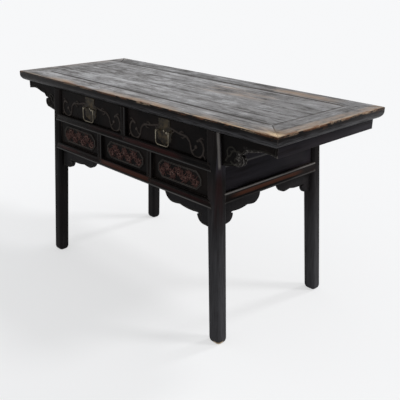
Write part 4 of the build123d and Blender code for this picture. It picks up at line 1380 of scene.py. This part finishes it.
for side, sign in (("left", -1), ("right", 1)):
    node = f"front_spandrel_{side}"
    lift = edge_line_lift(node, lambda u: u > SPANDREL_END)
    carved_piece(node, spandrel_lacquer, lift, SPANDREL_SPACING)
    for end, facing in (("front", FRONT), ("back", -FRONT)):
        node = f"overhang_bracket_{end}_{side}"
        across = -facing.y * RIGHTWARDS
        strokes = bracket_strokes(sign * across.x)
        lift = edge_line_lift(node, lambda u: u < BRACKET_END, strokes)
        carved_piece(node, bracket_lacquer, lift, BRACKET_SPACING, facing, across)

# %% [markdown]
# The brass plates are thin sheet, chased with a border line and a small flower round the nail.
# They are carved like the wood, only lower and finer.

# %% Plates
PLATE_SPACING = 1.2
PLATE_ARRIS = 0.3
FLOWER_PETALS = 6
PETAL_RADII = (6, 9, 12)
RING_RADIUS = 14.5
NAIL_LEVEL = 770.0
BORDER_INSET, BORDER_HALF, BORDER_RISE = 2.6, 1.2, 0.5


def plate_lift(nail):
    """A line along the plate's edge, petals round the nail and a ring round the petals."""
    strokes = []
    for count in range(FLOWER_PETALS):
        angle = 2 * math.pi * count / FLOWER_PETALS
        petal = [on_circle(nail, radius, angle) for radius in PETAL_RADII]
        strokes.append(stroke(petal, start=2.2, end=1.2, height=0.9))
    ring = spiral(nail, RING_RADIUS, RING_RADIUS, start=0, turns=1)
    strokes.append(stroke(ring, start=1.0, end=1.0, height=0.6, smooth=False))

    def lift(spots, segments):
        away = outline_distance(spots, segments)
        line = BORDER_RISE * round_section(away - BORDER_INSET, BORDER_HALF)
        return np.maximum(stroke_heights(spots, strokes), line)

    return lift


for side in ("left", "right"):
    node = f"drawer_{side}_pull_plate"
    nail = (box_middle(node).x, NAIL_LEVEL)
    carved_piece(node, plate_brass, plate_lift(nail), PLATE_SPACING, arris_drop=PLATE_ARRIS)

# %% [markdown]
# Rails show bands: the face between the beads is worn to the red ground in places, and the beads
# along their edges carry painted highlights. Each rail's bands are given as heights above its own
# lower edge, in millimetres, and are laid on the recipe of the lacquer as spots.

# %% Lacquer of the rails
RAIL_BROWN = (0.060, 0.021, 0.014)
SIDE_BROWN = (0.100, 0.036, 0.020)
Band = namedtuple("Band", "low high soft run colour share")
# bands in the painted highlight colours paint the light on the beads; the others are wear
BOTTOM_RAIL_BANDS = [
    Band(10.5, 29.5, 2, (-0.155, 0.165, 0.02), RAIL_BROWN, 1.0),
    Band(10.5, 25.5, 2, (-0.480, -0.330, 0.04), WORN_RED, 1.0),
    Band(10.5, 23.5, 2, (0.180, 0.470, 0.04), WORN_RED, 0.6),
    Band(2.0, 6.5, 1.5, (-0.60, 0.60, 0.01), PAINTED_BEAD_HIGHLIGHT, 0.95),
    Band(2.0, 6.5, 1.5, (0.20, 0.60, 0.20), PAINTED_BRIGHT_HIGHLIGHT, 0.25),
]
MIDDLE_RAIL_BANDS = [
    Band(10.0, 28.0, 2, (0.010, 0.330, 0.04), WORN_RED, 1.0),
    Band(15.0, 28.0, 2, (-0.230, -0.020, 0.04), WORN_RED, 0.7),
    Band(2.5, 6.5, 1.5, (-0.60, 0.60, 0.01), PAINTED_BEAD_HIGHLIGHT, 0.75),
]
SIDE_RAIL_BANDS = [
    Band(16.5, 30.5, 3, (-0.21, 0.16, 0.05), SIDE_BROWN, 0.95),
    Band(36.5, 41.0, 1.5, None, PAINTED_BEAD_HIGHLIGHT, 0.9),
    Band(35.7, 41.5, 1.5, None, PAINTED_BRIGHT_HIGHLIGHT, 0.75),
    Band(36.5, 41.0, 1.5, (-0.30, -0.10, 0.08), PAINTED_BRIGHT_HIGHLIGHT, 0.8),
    Band(5.0, 9.0, 1.5, None, PAINTED_BEAD_HIGHLIGHT, 0.7),
]


def banded_lacquer(name, grain, node, bands):
    """Lacquer with bands of wear along a rail; a band without a run goes along all of it."""
    lower_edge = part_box(node)[0].z
    spots = []
    for band in bands:
        ranges = {} if band.run is None else {grain: band.run}
        ranges["z"] = (lower_edge + band.low / MM, lower_edge + band.high / MM, band.soft / MM)
        spots.append(Spot(ranges, band.colour, band.share))
    return lacquer(name, grain, spots)


bottom_rail_lacquer = banded_lacquer("bottom_rail_lacquer", "x", "front_bottom_rail", BOTTOM_RAIL_BANDS)
middle_rail_lacquer = banded_lacquer("middle_rail_lacquer", "x", "front_middle_rail", MIDDLE_RAIL_BANDS)
side_rail_lacquer = banded_lacquer("side_rail_lacquer", "y", "side_lower_rail_right", SIDE_RAIL_BANDS)
print("bands", len(BOTTOM_RAIL_BANDS), len(MIDDLE_RAIL_BANDS), len(SIDE_RAIL_BANDS))

# %% [markdown]
# The boards of the sides lie in the shadow of the top; a band of painted light lightens them
# there, and a painted highlight line runs where the upper board meets the panel. The posts between
# drawers and panels get painted highlights along the beads of their edges, stronger on the right.

# %% Lacquer of side boards and posts
# painted light: a pale band in the boards' shade, and a painted highlight along the upper board's lower edge
BOARD_EDGE = {"z": (0.6845, 0.6905, 0.001)}
BOARD_SPOTS = [Spot({"z": (0.50, 0.90, 0.05)}, PAINTED_FILL_LIGHT, 0.30), Spot(BOARD_EDGE, PAINTED_BEAD_HIGHLIGHT, 0.9)]
BEAD_NEAR, BEAD_FAR, BEAD_SOFT = 0.0035, 0.0060, 0.0015
board_lacquer = lacquer("side_board_lacquer", "y", BOARD_SPOTS)


def post_lacquer(node):
    low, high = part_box(node)
    front = {"y": (low.y - 0.001, low.y + 0.012, 0.001), "z": (low.z + 0.02, 1.0, 0.01)}
    right_bead = {"x": (high.x - BEAD_FAR, high.x - BEAD_NEAR, BEAD_SOFT), **front}
    left_bead = {"x": (low.x + BEAD_NEAR, low.x + BEAD_FAR, BEAD_SOFT), **front}
    # painted highlights on both beads, stronger on the right one
    spots = [Spot(right_bead, PAINTED_BEAD_HIGHLIGHT, 0.95), Spot(left_bead, PAINTED_BEAD_HIGHLIGHT, 0.45)]
    return lacquer("painted_bead_highlight_" + node, "z", spots)


POSTS = ("drawer_muntin", "panel_post_left", "panel_post_right")
post_lacquers = {node: post_lacquer(node) for node in POSTS}
print("posts", list(post_lacquers))

# %% [markdown]
# Everything else is a rubbed copy with the finish of its place. A node's name says it first, then
# its slot in the record, and what is left is plain lacquer with the grain along its longest side.

# %% The remaining pieces
NODE_FINISH = {
    "side_upper_board": board_lacquer,
    "side_panel": board_lacquer,
    "end_board": board_lacquer,
    "side_lower_rail": side_rail_lacquer,
    "side_spandrels": spandrel_lacquer,
    "front_middle_rail": middle_rail_lacquer,
    "front_bottom_rail": bottom_rail_lacquer,
    "leg_": leg_lacquer,
    "top_left_end": top_along["y"],
    "top_right_end": top_along["y"],
    **post_lacquers,
}
SLOT_FINISH = {"worn_top_wood": top_along["x"], "inner_wood": inner_material, "aged_brass": bail_brass}


def finish_of(node):
    for start, material in NODE_FINISH.items():
        if node.startswith(start):
            return material
    if slot_of(node) in SLOT_FINISH:
        return SLOT_FINISH[slot_of(node)]
    low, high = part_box(node)
    return lacquer_along[max("xyz", key=lambda axis: getattr(high - low, axis))]


plain_nodes = [node for node in frame["nodes"] if node not in dressed]
for node in plain_nodes:
    rubbed(node, finish_of(node))
print("carved", len(frame["nodes"]) - len(plain_nodes), "nodes, rubbed", len(plain_nodes))
